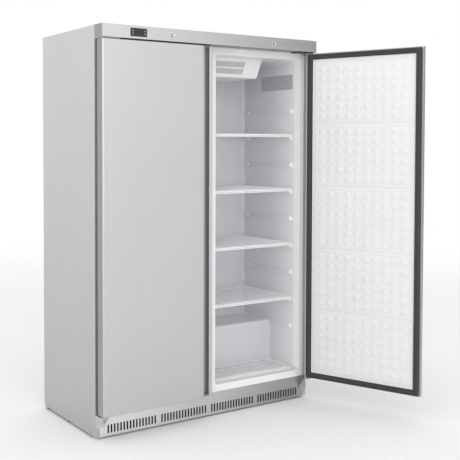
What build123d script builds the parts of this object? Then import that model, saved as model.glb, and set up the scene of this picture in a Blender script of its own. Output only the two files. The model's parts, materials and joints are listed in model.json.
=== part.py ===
"""Upright two-door freezer in satin stainless steel, with its right door standing open.

Lengths are in millimetres. While the pieces are made, X is zero at the cabinet's middle, Y is zero at
the carcass front and grows to the back, and Z is zero at the floor. The finished pieces are then set
round the part's own origin, on the floor under the middle of the space that the freezer takes up.
"""

import os
from math import asin, cos, radians, sin

from build123d import *

os.makedirs("parts", exist_ok=True)

# Overall sizes
width = 1240.0
height = 1850.0
carcass_depth = 550.0
door_zone = 70.0
open_angle = 112.0

# Outer shell of folded sheet
sheet = 1.0
panel_bottom = 12.0
stile_width = 22.0
rear_flange = 22.0
corner_cut = 18.0
edge_round = 0.8

# Machine bay behind a step in the floor, and the air duct under the floor
base_thickness = 2.0
duct_top = 100.0
bay_depth = 205.0
bay_top = 288.0

# Storage compartments, one each side of the middle wall
middle_wall = 38.0
side_wall = 45.0
back_wall = 80.0
top_wall = 93.0
compartment_floor = 150.0
hump_depth = 225.0
liner_wall = 2.5
liner_lip = 16.0
sill_lip = 33.0
liner_corner = 14.0

# Shelf supports moulded into the liner's side walls
support_pitch = 141.0
support_count = 9
lowest_support = 370.0
rib_start = 66.0
rib_back_gap = 30.0
rib_height = 12.0
rib_proud = 6.0
lug_width = 24.0
lug_height = 24.0
lug_proud = 17.0
lug_corner = 8.0
front_lug = 72.0
rear_lug_gap = 44.0

# Wire shelves
shelf_front = 37.0
shelf_back_gap = 25.0
bottom_shelf_back_gap = 12.0
shelf_side_gap = 8.0
shelf_rest_gap = 0.3
wire = 4.0
rail = 5.0
rim = 7.0
wire_pitch = 25.0
shelf_levels = 4

# Fascia with controller and locks
fascia_height = 59.0
fascia_round = 3.0
panel_gap = 5.0
controller_inset = 186.0
controller_width = 76.0
controller_height = 29.0
bezel_proud = 2.0
bezel_overlap = 4.0
controller_depth = 50.0
window_width = 46.0
window_height = 20.0
window_depth = 2.5
button_width = 8.0
button_height = 6.0
button_proud = 1.2
button_travel = 0.8
button_depth = 6.0
button_gap = 0.3
button_row = 6.5
button_column = 30.0
left_lock_inset = 364.0
right_lock_inset = 282.0
lock_radius = 9.4
lock_flange = 12.0
lock_proud = 2.5
plug_radius = 7.0
plug_length = 28.0
lock_fit = 0.05
cam_length = 45.0
cam_half_width = 6.0
cam_thickness = 3.0
cam_clearance = 2.5

# Doors
door_gap = 13.0
door_bottom = 118.0
pan_depth = 42.0
door_corner = 10.0
grip_bevel = 18.0
grip_fall = 12.0
grip_round = 7.0
door_edge = 5.0
handle_zone = 52.0
grip_depth = 36.0
lip_width = 19.0
lip_setback = 22.0
lip_round = 3.0
handle_wall = 1.5
handle_plug = 9.0
inner_panel = 2.0
gasket_inset = 6.0
gasket_hinge_inset = 16.0
gasket_width = 24.0
flange_tuck = 4.0
gasket_seat_gap = 0.4
gasket_groove = 3.0
gasket_round = 6.0
plug_height = 14.0
plug_slope = 8.0
field_count = 5
field_height = 2.5
field_border = 16.0
field_groove = 12.0
fit_gap = 0.3

# Hinges
hinge_inset = 15.0
hinge_forward = 42.0
pin_radius = 4.0
pin_fit = 0.05
pin_in_door = 22.0
bush_length = 30.0
bush_width = 56.0
bracket_width = 46.0
top_arm = 110.0
bracket_thickness = 3.0
bracket_reach = 56.0
top_flange_height = 42.0
bottom_flange_height = 58.0
washer_radius = 6.5
rivet_head = 2.0
screw_radius = 2.4
screw_head_radius = 4.5
screw_head = 2.5
screw_fit = 0.1

# Front grille under the doors
grille_bottom = 8.0
slot_groups = 4
slots_per_group = 16
slot_width = 8.5
slot_height = 40.0
slot_centre = 40.0
group_gap = 21.0
grille_margin = 25.0

# Feet and rear rollers
foot_radius = 15.0
foot_height = 9.0
middle_foot_radius = 12.0
stud_radius = 5.0
stud_length = 34.0
stud_fit = 0.5
front_foot_y = 24.0
middle_foot_gap = 255.0
foot_inset = 20.0
roller_radius = 17.0
roller_width = 15.0
roller_inset = 15.0
roller_gap = 24.0
roller_axle = 3.0
roller_fit = 0.05
roller_side_gap = 0.4
roller_clearance = 4.0
cheek = 2.0
cheek_height = 44.0

# Refrigeration
compressor_inset = 220.0
compressor_radius = 72.0
compressor_height = 176.0
grommet_height = 14.0
grommet_radius = 11.0
leg_length = 210.0
leg_width = 46.0
condenser_inset = 150.0
condenser_thickness = 60.0
condenser_span = 150.0
condenser_height = 196.0
fin_count = 14
fin_thickness = 0.6
fan_radius = 78.0
evaporator_fan_radius = 40.0
fan_blades = 5
fan_pitch = 32.0
blade_thickness = 1.6
hub_radius = 15.0
hub_length = 18.0
shaft_radius = 2.5
shaft_fit = 0.04
motor_radius = 24.0
motor_length = 36.0
fan_standoff = 5.0
pipe_radius = 4.0
pipe_bend = 24.0

# Air coolers under each compartment's ceiling
cover_left = 56.0
cover_width = 350.0
cover_front_top = 105.0
cover_front_bottom = 151.0
cover_back_gap = 22.0
cover_drop = 92.0
cover_wall = 2.0
slit_count = 22
slit_width = 5.0
slit_length = 30.5
slit_pitch = 11.2
slit_lean = 14.0
slit_row_pitch = 37.0
cooler_width = 310.0
cooler_depth = 120.0
cooler_height = 66.0
cooler_hang = 8.0

# Places worked out from the sizes above
half = width / 2
carcass_top = height
door_top = height - fascia_height - panel_gap
front = -door_zone
fascia_bottom = height - fascia_height
lock_z = height - fascia_height / 2
cavity_right = half - side_wall
cavity_back = carcass_depth - back_wall
cavity_top = height - top_wall
hump_front = cavity_back - hump_depth
hump_top = lowest_support
bay_front = carcass_depth - bay_depth
lip_top = cavity_top + liner_lip + 5.0
lip_bottom = compartment_floor - sill_lip
lip_outer = half - stile_width
mullion_half = middle_wall - liner_lip
pan_back = front + pan_depth
hinge_x = half - hinge_inset
hinge_y = -hinge_forward
base_top = panel_bottom + base_thickness
rear_panel_half = half - rear_flange - 0.5
rib_end = cavity_back - rib_back_gap
rear_lug = cavity_back - rear_lug_gap
shelf_back = cavity_back - shelf_back_gap
bottom_shelf_back = hump_front - bottom_shelf_back_gap
controller_x = -half + controller_inset
left_lock_x = -half + left_lock_inset
right_lock_x = half - right_lock_inset
group_pitch = (2 * lip_outer - 2 * grille_margin) / slot_groups
slot_pitch = (group_pitch - group_gap) / slots_per_group
middle_foot_y = carcass_depth - middle_foot_gap
roller_y = carcass_depth - roller_gap
compressor_x = half - compressor_inset
compressor_y = bay_front + bay_depth / 2
condenser_x = -half + condenser_inset
cover_back = cavity_back - cover_back_gap

pieces = {}


def block(x, y, z, mode=Mode.ADD):
    """Box in the part being made, from its (low, high) span along each axis."""
    spans = (x, y, z)
    with Locations(tuple((low + high) / 2 for low, high in spans)):
        Box(*[high - low for low, high in spans], mode=mode)


def rod(start, direction, radius, length, mode=Mode.ADD):
    """Cylinder in the part being made, from a point along a direction."""
    with Locations(Plane(origin=start, z_dir=direction)):
        Cylinder(radius, length, align=(Align.CENTER, Align.CENTER, Align.MIN), mode=mode)


def both_sides(part):
    """A left-hand piece together with its mirror image on the right."""
    return Compound([*part.solids(), *part.mirror(Plane.YZ).solids()])


# Side panels: one sheet each, folded to a front stile and a rear flange
with BuildPart() as left_side_panel:
    with BuildSketch(Plane.XY.offset(panel_bottom)) as fold:
        with BuildLine():
            Polyline(
                (-half, 0), (-half + stile_width, 0), (-half + stile_width, sheet), (-half + sheet, sheet),
                (-half + sheet, carcass_depth - sheet), (-half + rear_flange, carcass_depth - sheet),
                (-half + rear_flange, carcass_depth), (-half, carcass_depth), close=True)
        make_face()
        fillet(fold.vertices().group_by(Axis.X)[0], edge_round)
    extrude(amount=height - panel_bottom)
    with BuildSketch(Plane.YZ.offset(-half - sheet)):
        with BuildLine():
            Polyline(
                (carcass_depth - corner_cut, panel_bottom), (carcass_depth, panel_bottom),
                (carcass_depth, panel_bottom + corner_cut), close=True)
        make_face()
    extrude(amount=rear_flange + 2 * sheet, mode=Mode.SUBTRACT)
pieces["left_side_panel"] = left_side_panel.part
pieces["right_side_panel"] = left_side_panel.part.mirror(Plane.YZ)

# Top panel: a flat sheet between the sides, turned down at the back
with BuildPart() as top_panel:
    block((-half + sheet, half - sheet), (sheet, carcass_depth - sheet), (height - sheet, height))
    block(
        (-rear_panel_half, rear_panel_half), (carcass_depth - 2 * sheet, carcass_depth - sheet),
        (height - rear_flange, height - sheet))
pieces["top_panel"] = top_panel.part

# Back panel: a flat sheet between the rear flanges, above the machine bay
with BuildPart() as back_panel:
    block(
        (-rear_panel_half, rear_panel_half), (carcass_depth - sheet, carcass_depth),
        (bay_top, height - sheet))
pieces["back_panel"] = back_panel.part

# Floor pan: folded sheet, low over the air duct and stepped up over the machine bay
with BuildPart() as floor_pan:
    with BuildSketch(Plane.YZ.offset(-half + sheet)):
        with BuildLine():
            Polyline(
                (sheet, duct_top), (bay_front, duct_top), (bay_front, bay_top - sheet),
                (carcass_depth - sheet, bay_top - sheet), (carcass_depth - sheet, bay_top),
                (bay_front - sheet, bay_top), (bay_front - sheet, duct_top + sheet),
                (sheet, duct_top + sheet), close=True)
        make_face()
    extrude(amount=width - 2 * sheet)
pieces["floor_pan"] = floor_pan.part

# Base plate: thick sheet that carries the feet, the rollers and the machinery
foot_x = half - foot_inset
roller_x = half - roller_inset
roller_slot = roller_width / 2 + cheek + roller_side_gap + 1.0
with BuildPart() as base_plate:
    block((-half + sheet, half - sheet), (sheet, carcass_depth - sheet), (panel_bottom, base_top))
    with Locations(*[
            (x, y, panel_bottom) for x in (-foot_x, foot_x) for y in (front_foot_y, middle_foot_y)]):
        Cylinder(stud_radius + stud_fit, 4 * base_thickness, mode=Mode.SUBTRACT)
    for side in (-1, 1):
        block(
            (side * roller_x - roller_slot, side * roller_x + roller_slot),
            (roller_y - roller_radius - roller_clearance, roller_y + roller_radius + roller_clearance),
            (panel_bottom, base_top), Mode.SUBTRACT)
pieces["base_plate"] = base_plate.part

# Storage space of the right compartment, as a tool: square in plan, with a hump over the machine bay
with BuildPart() as cavity:
    with BuildSketch(Plane.YZ.offset(middle_wall)):
        with BuildLine():
            Polyline(
                (0, compartment_floor), (hump_front, compartment_floor), (hump_front, hump_top),
                (cavity_back, hump_top), (cavity_back, cavity_top), (0, cavity_top), close=True)
        make_face()
    extrude(amount=cavity_right - middle_wall)
    mouth = cavity.faces().sort_by(Axis.Y)[0].edges()
    fillet(cavity.edges() - mouth, liner_corner)

# Liners: white moulded shells with a flat lip round the mouth and supports for the shelves. The hump's top
# is level with the lowest supports and takes the back of a shelf there, so these have no rear lugs.
with BuildPart() as liner_hull:
    with BuildSketch(Plane.YZ.offset(middle_wall - liner_wall)):
        with BuildLine():
            Polyline(
                (0, compartment_floor - liner_wall),
                (hump_front + liner_wall, compartment_floor - liner_wall),
                (hump_front + liner_wall, hump_top - liner_wall),
                (cavity_back + liner_wall, hump_top - liner_wall),
                (cavity_back + liner_wall, cavity_top + liner_wall), (0, cavity_top + liner_wall),
                close=True)
        make_face()
    extrude(amount=cavity_right - middle_wall + 2 * liner_wall)
    ridge = liner_hull.edges().filter_by(Axis.X).sort_by_distance(
        (middle_wall, hump_front + liner_wall, hump_top - liner_wall))[0]
    fillet(ridge, liner_corner - liner_wall)
support_levels = [lowest_support + support_pitch * k for k in range(support_count)]
with BuildPart() as right_liner:
    add(liner_hull.part)
    block((mullion_half, lip_outer), (0, sheet), (lip_bottom, lip_top))
    add(cavity.part, mode=Mode.SUBTRACT)
    for wall, inward in ((middle_wall, 1), (cavity_right, -1)):
        with BuildSketch(Plane.YZ.offset(wall)):
            with Locations(((rib_start + hump_front) / 2, lowest_support)):
                Rectangle(hump_front - rib_start, rib_height)
            with Locations(*[((rib_start + rib_end) / 2, z) for z in support_levels[1:]]):
                Rectangle(rib_end - rib_start, rib_height)
        extrude(amount=inward * rib_proud)
        with BuildSketch(Plane.YZ.offset(wall)):
            with Locations(*[(front_lug, z) for z in support_levels]):
                RectangleRounded(lug_width, lug_height, lug_corner)
            with Locations(*[(rear_lug, z) for z in support_levels[1:]]):
                RectangleRounded(lug_width, lug_height, lug_corner)
        extrude(amount=inward * lug_proud)
pieces["left_liner"] = right_liner.part.mirror(Plane.YZ)
pieces["right_liner"] = right_liner.part

# Cabinet foam: fills everything between the outer shell and the two liners
with BuildPart() as cabinet_foam:
    with BuildSketch(Plane.YZ.offset(-half + sheet)):
        with BuildLine():
            Polyline(
                (sheet, duct_top + sheet), (bay_front - sheet, duct_top + sheet),
                (bay_front - sheet, bay_top),
                (carcass_depth - 2 * sheet, bay_top), (carcass_depth - 2 * sheet, height - sheet),
                (sheet, height - sheet), close=True)
        make_face()
    extrude(amount=width - 2 * sheet)
    add(liner_hull.part, mode=Mode.SUBTRACT)
    add(liner_hull.part.mirror(Plane.YZ), mode=Mode.SUBTRACT)
pieces["cabinet_foam"] = cabinet_foam.part

# Front frame: head rail over the mouths and the strip between them
with BuildPart() as front_frame:
    block((-lip_outer, lip_outer), (0, sheet), (lip_top, height - sheet))
    block((-mullion_half, mullion_half), (0, sheet), (lip_bottom, lip_top))
pieces["front_frame"] = Compound(front_frame.part.solids())

# Base grille: one pressed front with groups of upright slots
with BuildPart() as base_grille:
    with BuildSketch(Plane.XZ) as face:
        with Locations((0, (grille_bottom + lip_bottom) / 2)):
            Rectangle(2 * lip_outer, lip_bottom - grille_bottom)
        with Locations((0, slot_centre)):
            with GridLocations(group_pitch, 0, slot_groups, 1):
                with GridLocations(slot_pitch, 0, slots_per_group, 1):
                    SlotOverall(slot_height, slot_width, rotation=90, mode=Mode.SUBTRACT)
    extrude(amount=-sheet)
pieces["base_grille"] = base_grille.part

# Fascia: a folded box over the doors, open at the back, cut out for the controller and the locks
controller_left = controller_x - controller_width / 2
controller_right = controller_x + controller_width / 2
cam_span = (-cam_half_width - cam_clearance, 0.78 * cam_length + cam_clearance)
cam_y = front + plug_length - lock_proud
cam_slot = (cam_y - cam_clearance, cam_y + cam_thickness + cam_clearance)
with BuildPart() as fascia_panel:
    block((-half, half), (front, 0), (fascia_bottom, height))
    fillet(fascia_panel.edges().filter_by(Axis.Z).group_by(Axis.Y)[0], fascia_round)
    block(
        (-half + sheet, half - sheet), (front + sheet, 0), (fascia_bottom + sheet, height - sheet),
        Mode.SUBTRACT)
    block(
        (-half + sheet, half - sheet), (-bracket_thickness - sheet, 0),
        (fascia_bottom, fascia_bottom + sheet),
        Mode.SUBTRACT)
    block(
        (controller_left, controller_right), (front, front + sheet),
        (lock_z - controller_height / 2, lock_z + controller_height / 2), Mode.SUBTRACT)
    for lock_x in (left_lock_x, right_lock_x):
        rod((lock_x, front, lock_z), (0, 1, 0), lock_radius + lock_fit, sheet, Mode.SUBTRACT)
        block(
            (lock_x + cam_span[0], lock_x + cam_span[1]), cam_slot, (fascia_bottom, fascia_bottom + sheet),
            Mode.SUBTRACT)
pieces["fascia_panel"] = fascia_panel.part

# Controller: moulded case behind the fascia, with a bezel, a dark window and four small keys
bezel_front = front - bezel_proud
button_places = {
    "controller_button_1": (controller_x - button_column, lock_z + button_row),
    "controller_button_2": (controller_x - button_column, lock_z - button_row),
    "controller_button_3": (controller_x + button_column, lock_z + button_row),
    "controller_button_4": (controller_x + button_column, lock_z - button_row),
}
case_gap = 0.2
case_wall = 1.6
with BuildPart() as controller_housing:
    block(
        (controller_left - bezel_overlap, controller_right + bezel_overlap), (bezel_front, front),
        (lock_z - controller_height / 2 - bezel_overlap, lock_z + controller_height / 2 + bezel_overlap))
    fillet(controller_housing.edges().filter_by(Axis.Y), bezel_overlap / 2)
    block(
        (controller_left + case_gap, controller_right - case_gap), (front, front + controller_depth),
        (lock_z - controller_height / 2 + case_gap, lock_z + controller_height / 2 - case_gap))
    block(
        (controller_left + case_gap + case_wall, controller_right - case_gap - case_wall),
        (front + window_depth, front + controller_depth - case_wall),
        (lock_z - controller_height / 2 + case_gap + case_wall,
         lock_z + controller_height / 2 - case_gap - case_wall),
        Mode.SUBTRACT)
    block(
        (controller_x - window_width / 2, controller_x + window_width / 2),
        (bezel_front, bezel_front + window_depth),
        (lock_z - window_height / 2, lock_z + window_height / 2), Mode.SUBTRACT)
    for x, z in button_places.values():
        block(
            (x - button_width / 2 - button_gap, x + button_width / 2 + button_gap),
            (bezel_front, front + window_depth),
            (z - button_height / 2 - button_gap, z + button_height / 2 + button_gap), Mode.SUBTRACT)
pieces["controller_housing"] = controller_housing.part

with BuildPart() as controller_window:
    block(
        (controller_x - window_width / 2, controller_x + window_width / 2),
        (bezel_front, bezel_front + window_depth),
        (lock_z - window_height / 2, lock_z + window_height / 2))
pieces["controller_window"] = controller_window.part

for name, (x, z) in button_places.items():
    with BuildPart() as button:
        block(
            (x - button_width / 2, x + button_width / 2),
            (bezel_front - button_proud, bezel_front - button_proud + button_depth),
            (z - button_height / 2, z + button_height / 2))
        fillet(button.faces().sort_by(Axis.Y)[0].edges(), button_proud / 2)
    pieces[name] = button.part

# Locks: a fixed barrel in the fascia, and a key plug whose cam drops into the top of the door
with BuildPart() as lock_barrels:
    for lock_x in (left_lock_x, right_lock_x):
        rod((lock_x, front - lock_proud, lock_z), (0, 1, 0), lock_flange, lock_proud)
        rod((lock_x, front, lock_z), (0, 1, 0), lock_radius, plug_length - 2 * lock_proud)
        rod(
            (lock_x, front - lock_proud, lock_z), (0, 1, 0), plug_radius + lock_fit, plug_length,
            Mode.SUBTRACT)
pieces["lock_barrels"] = Compound(lock_barrels.part.solids())

for name, lock_x in (("left_lock_plug", left_lock_x), ("right_lock_plug", right_lock_x)):
    with BuildPart() as lock_plug:
        rod((lock_x, front - lock_proud, lock_z), (0, 1, 0), plug_radius, plug_length)
        block(
            (lock_x - sheet, lock_x + sheet), (front - lock_proud, front + lock_proud),
            (lock_z - 0.6 * plug_radius, lock_z + 0.6 * plug_radius), Mode.SUBTRACT)
        block(
            (lock_x - cam_half_width, lock_x + cam_length), (cam_y, cam_y + cam_thickness),
            (lock_z - cam_half_width, lock_z + cam_half_width))
    pieces[name] = lock_plug.part

# Door sensors: small moulded blocks on the head rail, just under the fascia
sensor_x = 190.0
sensor_length = 36.0
sensor_depth = 14.0
sensor_height = 8.0
with BuildPart() as door_sensor:
    block(
        (-sensor_x - sensor_length / 2, -sensor_x + sensor_length / 2), (-sensor_depth, 0),
        (fascia_bottom - sensor_height, fascia_bottom))
    fillet(door_sensor.edges().filter_by(Axis.Z).group_by(Axis.Y)[0], sensor_depth / 4)
pieces["door_sensors"] = both_sides(door_sensor.part)

# Hinge brackets: folded plates above and below each door
bracket_x = (-half + sheet, -half + sheet + bracket_width)
top_plate = (door_top + 2.0, fascia_bottom)
bottom_plate_top = door_bottom - 4.5
bottom_plate = (bottom_plate_top - bracket_thickness, bottom_plate_top)
screw_columns = (bracket_x[0] + bracket_width / 4, bracket_x[1] - bracket_width / 4)
top_screw_z = fascia_bottom + 0.6 * top_flange_height
bottom_screw_z = bottom_plate[0] - 0.65 * bottom_flange_height
with BuildPart() as hinge_brackets:
    block((bracket_x[0], bracket_x[0] + top_arm), (-bracket_reach, 0), top_plate)
    block(bracket_x, (-bracket_thickness, 0), (fascia_bottom, fascia_bottom + top_flange_height))
    block(bracket_x, (-bracket_reach, 0), bottom_plate)
    block(bracket_x, (-bracket_thickness, 0), (bottom_plate[0] - bottom_flange_height, bottom_plate[0]))
    with BuildSketch(Plane.YZ.offset(bracket_x[1] - bracket_thickness)):
        with BuildLine():
            Polyline(
                (-bracket_thickness, bottom_plate[0]), (-0.8 * bracket_reach, bottom_plate[0]),
                (-bracket_thickness, bottom_plate[0] - 0.8 * bottom_flange_height), close=True)
        make_face()
    extrude(amount=bracket_thickness)
    corners = hinge_brackets.edges().filter_by(Axis.Z).group_by(Axis.Y)[0]
    fillet(corners, hinge_inset - sheet - 0.5)
    rod((-hinge_x, hinge_y, bottom_plate[0]), (0, 0, 1), pin_radius + pin_fit, height, Mode.SUBTRACT)
    for x in screw_columns:
        for z in (top_screw_z, bottom_screw_z):
            rod(
                (x, -bracket_thickness, z), (0, 1, 0), screw_radius + screw_fit, bracket_thickness,
                Mode.SUBTRACT)
pieces["hinge_brackets"] = both_sides(hinge_brackets.part)

# Hinge pins: shouldered pins riveted in the brackets, which the doors turn on
with BuildPart() as hinge_pins:
    rod(
        (-hinge_x, hinge_y, door_top - pin_in_door), (0, 0, 1), pin_radius,
        top_plate[1] - door_top + pin_in_door)
    rod(
        (-hinge_x, hinge_y, door_top + fit_gap), (0, 0, 1), washer_radius,
        top_plate[0] - door_top - fit_gap)
    rod(
        (-hinge_x, hinge_y, bottom_plate[0]), (0, 0, 1), pin_radius,
        door_bottom + pin_in_door - bottom_plate[0])
    rod(
        (-hinge_x, hinge_y, bottom_plate[1]), (0, 0, 1), washer_radius,
        door_bottom - fit_gap - bottom_plate[1])
    rod((-hinge_x, hinge_y, bottom_plate[0] - rivet_head), (0, 0, 1), washer_radius, rivet_head)
pieces["hinge_pins"] = both_sides(hinge_pins.part)

# Doors: skin, inner panel, foam, gasket, handle liner and hinge bushes, made shut on the left
door_free = -door_gap
grip_edge = door_free - handle_zone
grip_floor = front + grip_depth
lip_inner = door_free - lip_width
lip_front = front + lip_setback
gasket_x = (-half + gasket_hinge_inset, door_free - gasket_inset)
gasket_z = (door_bottom + gasket_inset, door_top - gasket_inset)
rim_back = pan_back + inner_panel
flange_x = (gasket_x[0] + flange_tuck, gasket_x[1] - flange_tuck)
flange_z = (gasket_z[0] + flange_tuck, gasket_z[1] - flange_tuck)
plug_x = (gasket_x[0] + gasket_width + fit_gap, gasket_x[1] - gasket_width - fit_gap)
plug_z = (gasket_z[0] + gasket_width + fit_gap, gasket_z[1] - gasket_width - fit_gap)
plug_top = rim_back + plug_height
bush_x = (-half + sheet, -half + sheet + bush_width)
bush_y = (front + sheet + 2 * door_edge, pan_back)
bush_inset = door_edge
pocket_bottom = lock_z - cam_length - cam_clearance


def door_block(inset):
    """The door's pan as a solid, drawn in by an inset on every side but its open back."""
    with BuildPart() as body:
        with BuildSketch(Plane.XY.offset(door_bottom + inset)) as plan:
            with BuildLine():
                Polyline(
                    (-half + inset, pan_back), (-half + inset, front + inset),
                    (grip_edge - grip_bevel - inset, front + inset),
                    (grip_edge - inset, front + grip_fall + inset),
                    (grip_edge - inset, grip_floor + inset), (lip_inner + inset, grip_floor + inset),
                    (lip_inner + inset, lip_front + inset), (door_free - inset, lip_front + inset),
                    (door_free - inset, pan_back), close=True)
            make_face()
            corners = plan.vertices().group_by(Axis.Y)
            fillet(corners[0].sort_by(Axis.X)[0], door_corner - inset)
            fillet(plan.vertices().group_by(Axis.Y)[0].sort_by(Axis.X)[-1], grip_round - inset)
            bevel_end = front + grip_fall + inset
            bevel_corner = plan.vertices().filter_by_position(Axis.Y, bevel_end - sheet, bevel_end + sheet)
            fillet(bevel_corner, grip_round - inset)
            lip_corners = plan.vertices().filter_by_position(Axis.Y, lip_front, lip_front + 2 * sheet)
            fillet(lip_corners, lip_round - inset)
        extrude(amount=door_top - door_bottom - 2 * inset)
        fillet(body.edges().filter_by(Axis.X).group_by(Axis.Y)[0], door_edge - inset)
    return body.part


door_outside = door_block(0)
door_inside = door_block(sheet)
door_nodes = {}
for side, cam_reach in (
        ("left", (left_lock_x + cam_span[0], left_lock_x + cam_span[1])),
        ("right", (-right_lock_x - cam_span[1], -right_lock_x - cam_span[0]))):
    with BuildPart() as door_skin:
        add(door_outside)
        add(door_inside, mode=Mode.SUBTRACT)
        rod((-hinge_x, hinge_y, door_bottom), (0, 0, 1), pin_radius + 2 * fit_gap, height, Mode.SUBTRACT)
        block(cam_reach, cam_slot, (door_top - sheet, door_top), Mode.SUBTRACT)
        block((-half, door_free), (pan_back, rim_back), (door_bottom, door_top))
        block(flange_x, (pan_back, rim_back), flange_z, Mode.SUBTRACT)
    door_nodes[f"{side}_door_skin"] = door_skin.part

    with BuildPart() as door_bushes:
        for low in (door_bottom + bush_inset, door_top - bush_inset - bush_length):
            block(bush_x, bush_y, (low, low + bush_length))
        rod((-hinge_x, hinge_y, door_bottom), (0, 0, 1), pin_radius + pin_fit, height, Mode.SUBTRACT)
    door_nodes[f"{side}_door_bushes"] = Compound(door_bushes.part.solids())

    with BuildPart() as door_panel:
        block(
            (flange_x[0] + fit_gap, flange_x[1] - fit_gap), (pan_back, rim_back),
            (flange_z[0] + fit_gap, flange_z[1] - fit_gap))
        with BuildSketch(Plane.XZ.offset(-rim_back)):
            with Locations((sum(plug_x) / 2, sum(plug_z) / 2)):
                RectangleRounded(plug_x[1] - plug_x[0], plug_z[1] - plug_z[0], liner_corner)
        extrude(amount=-plug_height, taper=plug_slope)
        field_z = plug_z[1] - plug_z[0] - 2 * field_border
        with BuildSketch(Plane.XZ.offset(-plug_top)):
            with Locations((sum(plug_x) / 2, sum(plug_z) / 2)):
                with GridLocations(0, field_z / field_count, 1, field_count):
                    RectangleRounded(
                        plug_x[1] - plug_x[0] - 2 * field_border, field_z / field_count - field_groove,
                        liner_corner / 2)
        extrude(amount=-field_height, taper=plug_slope)
        with BuildSketch(Plane.XZ.offset(-pan_back)):
            with Locations((sum(plug_x) / 2, sum(plug_z) / 2)):
                RectangleRounded(
                    plug_x[1] - plug_x[0] - 4 * inner_panel, plug_z[1] - plug_z[0] - 4 * inner_panel,
                    liner_corner)
        extrude(amount=-plug_height, taper=plug_slope, mode=Mode.SUBTRACT)
    door_nodes[f"{side}_door_panel"] = door_panel.part

    with BuildPart() as door_foam:
        add(door_inside)
        with BuildSketch(Plane.XZ.offset(-pan_back)):
            with Locations((sum(plug_x) / 2, sum(plug_z) / 2)):
                RectangleRounded(
                    plug_x[1] - plug_x[0] - 4 * inner_panel, plug_z[1] - plug_z[0] - 4 * inner_panel,
                    liner_corner)
        extrude(amount=-plug_height, taper=plug_slope)
        for low in (door_bottom, door_top - bush_inset - bush_length):
            block(bush_x, bush_y, (low, low + bush_length + bush_inset), Mode.SUBTRACT)
        block(cam_reach, cam_slot, (pocket_bottom, door_top - sheet), Mode.SUBTRACT)
    door_nodes[f"{side}_door_foam"] = door_foam.part

    with BuildPart() as door_gasket:
        block(gasket_x, (rim_back, -gasket_seat_gap), gasket_z)
        fillet(door_gasket.edges().filter_by(Axis.Y), 2 * gasket_round)
        fillet(door_gasket.faces().sort_by(Axis.Y)[-1].edges(), gasket_round)
        block(
            (gasket_x[0] + gasket_width, gasket_x[1] - gasket_width), (rim_back, -gasket_seat_gap),
            (gasket_z[0] + gasket_width, gasket_z[1] - gasket_width), Mode.SUBTRACT)
        with BuildSketch(Plane.XZ.offset(gasket_seat_gap)):
            with Locations((sum(gasket_x) / 2, sum(gasket_z) / 2)):
                Rectangle(
                    gasket_x[1] - gasket_x[0] - gasket_width + gasket_groove,
                    gasket_z[1] - gasket_z[0] - gasket_width + gasket_groove)
                Rectangle(
                    gasket_x[1] - gasket_x[0] - gasket_width - gasket_groove,
                    gasket_z[1] - gasket_z[0] - gasket_width - gasket_groove, mode=Mode.SUBTRACT)
        extrude(amount=gasket_groove, mode=Mode.SUBTRACT)
    door_nodes[f"{side}_door_gasket"] = door_gasket.part

    with BuildPart() as door_handle:
        channel_z = (door_bottom + door_edge, door_top - door_edge)
        block((grip_edge, lip_inner), (grip_floor - handle_wall, grip_floor), channel_z)
        block((grip_edge, grip_edge + handle_wall), (lip_front, grip_floor), channel_z)
        block((lip_inner - handle_wall, lip_inner), (lip_front + 2 * lip_round, grip_floor), channel_z)
        for low in (channel_z[0], channel_z[1] - handle_plug):
            block((grip_edge, lip_inner), (lip_front, grip_floor), (low, low + handle_plug))
    door_nodes[f"{side}_door_handle"] = door_handle.part

right_hinge = Axis((hinge_x, hinge_y, 0), (0, 0, 1))
for name, part in door_nodes.items():
    pieces[name] = part if name.startswith(
        "left") else part.mirror(Plane.YZ).rotate(right_hinge, open_angle)

# Screws: pan heads that hold the hinge brackets and the rear cover
rear_screw_x = rear_panel_half - slot_pitch / 2
rear_screw_levels = (base_top + slot_pitch, bay_top - slot_pitch)
with BuildPart() as front_screws:
    for x in screw_columns:
        for z in (top_screw_z, bottom_screw_z):
            rod((x, -bracket_thickness - screw_head, z), (0, 1, 0), screw_head_radius, screw_head)
            rod((x, -bracket_thickness, z), (0, 1, 0), screw_radius, bracket_thickness)
    for z in rear_screw_levels:
        rod((-rear_screw_x, carcass_depth, z), (0, 1, 0), screw_head_radius, screw_head)
pieces["cabinet_screws"] = both_sides(front_screws.part)

# Levelling feet: pads on threaded studs through the base plate
with BuildPart() as levelling_feet:
    for y, radius in ((front_foot_y, foot_radius), (middle_foot_y, middle_foot_radius)):
        rod((-foot_x, y, 0), (0, 0, 1), radius, foot_height)
        rod((-foot_x, y, foot_height), (0, 0, 1), 1.6 * stud_radius, panel_bottom - foot_height)
        rod((-foot_x, y, panel_bottom), (0, 0, 1), stud_radius, stud_length)
pieces["levelling_feet"] = both_sides(levelling_feet.part)

# Rear rollers: nylon wheels on riveted axles between folded cheeks
inner_gap = roller_width / 2 + roller_side_gap
with BuildPart() as roller_brackets:
    for sign in (-1, 1):
        block(
            (-roller_x + sign * (inner_gap + cheek / 2) - cheek / 2,
             -roller_x + sign * (inner_gap + cheek / 2) + cheek / 2),
            (roller_y - roller_radius, roller_y + roller_radius), (panel_bottom, cheek_height))
    block(
        (-roller_x - inner_gap - cheek, -roller_x + inner_gap + cheek),
        (roller_y - roller_radius, roller_y + roller_radius), (cheek_height - cheek, cheek_height))
    block(
        (-roller_x + inner_gap, -roller_x + inner_gap + 4 * roller_axle + roller_clearance),
        (roller_y - roller_radius, roller_y + roller_radius), (base_top, base_top + cheek))
    rod(
        (-roller_x - inner_gap - cheek, roller_y, roller_radius), (1, 0, 0), roller_axle,
        2 * (inner_gap + cheek))
pieces["roller_brackets"] = both_sides(roller_brackets.part)

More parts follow.
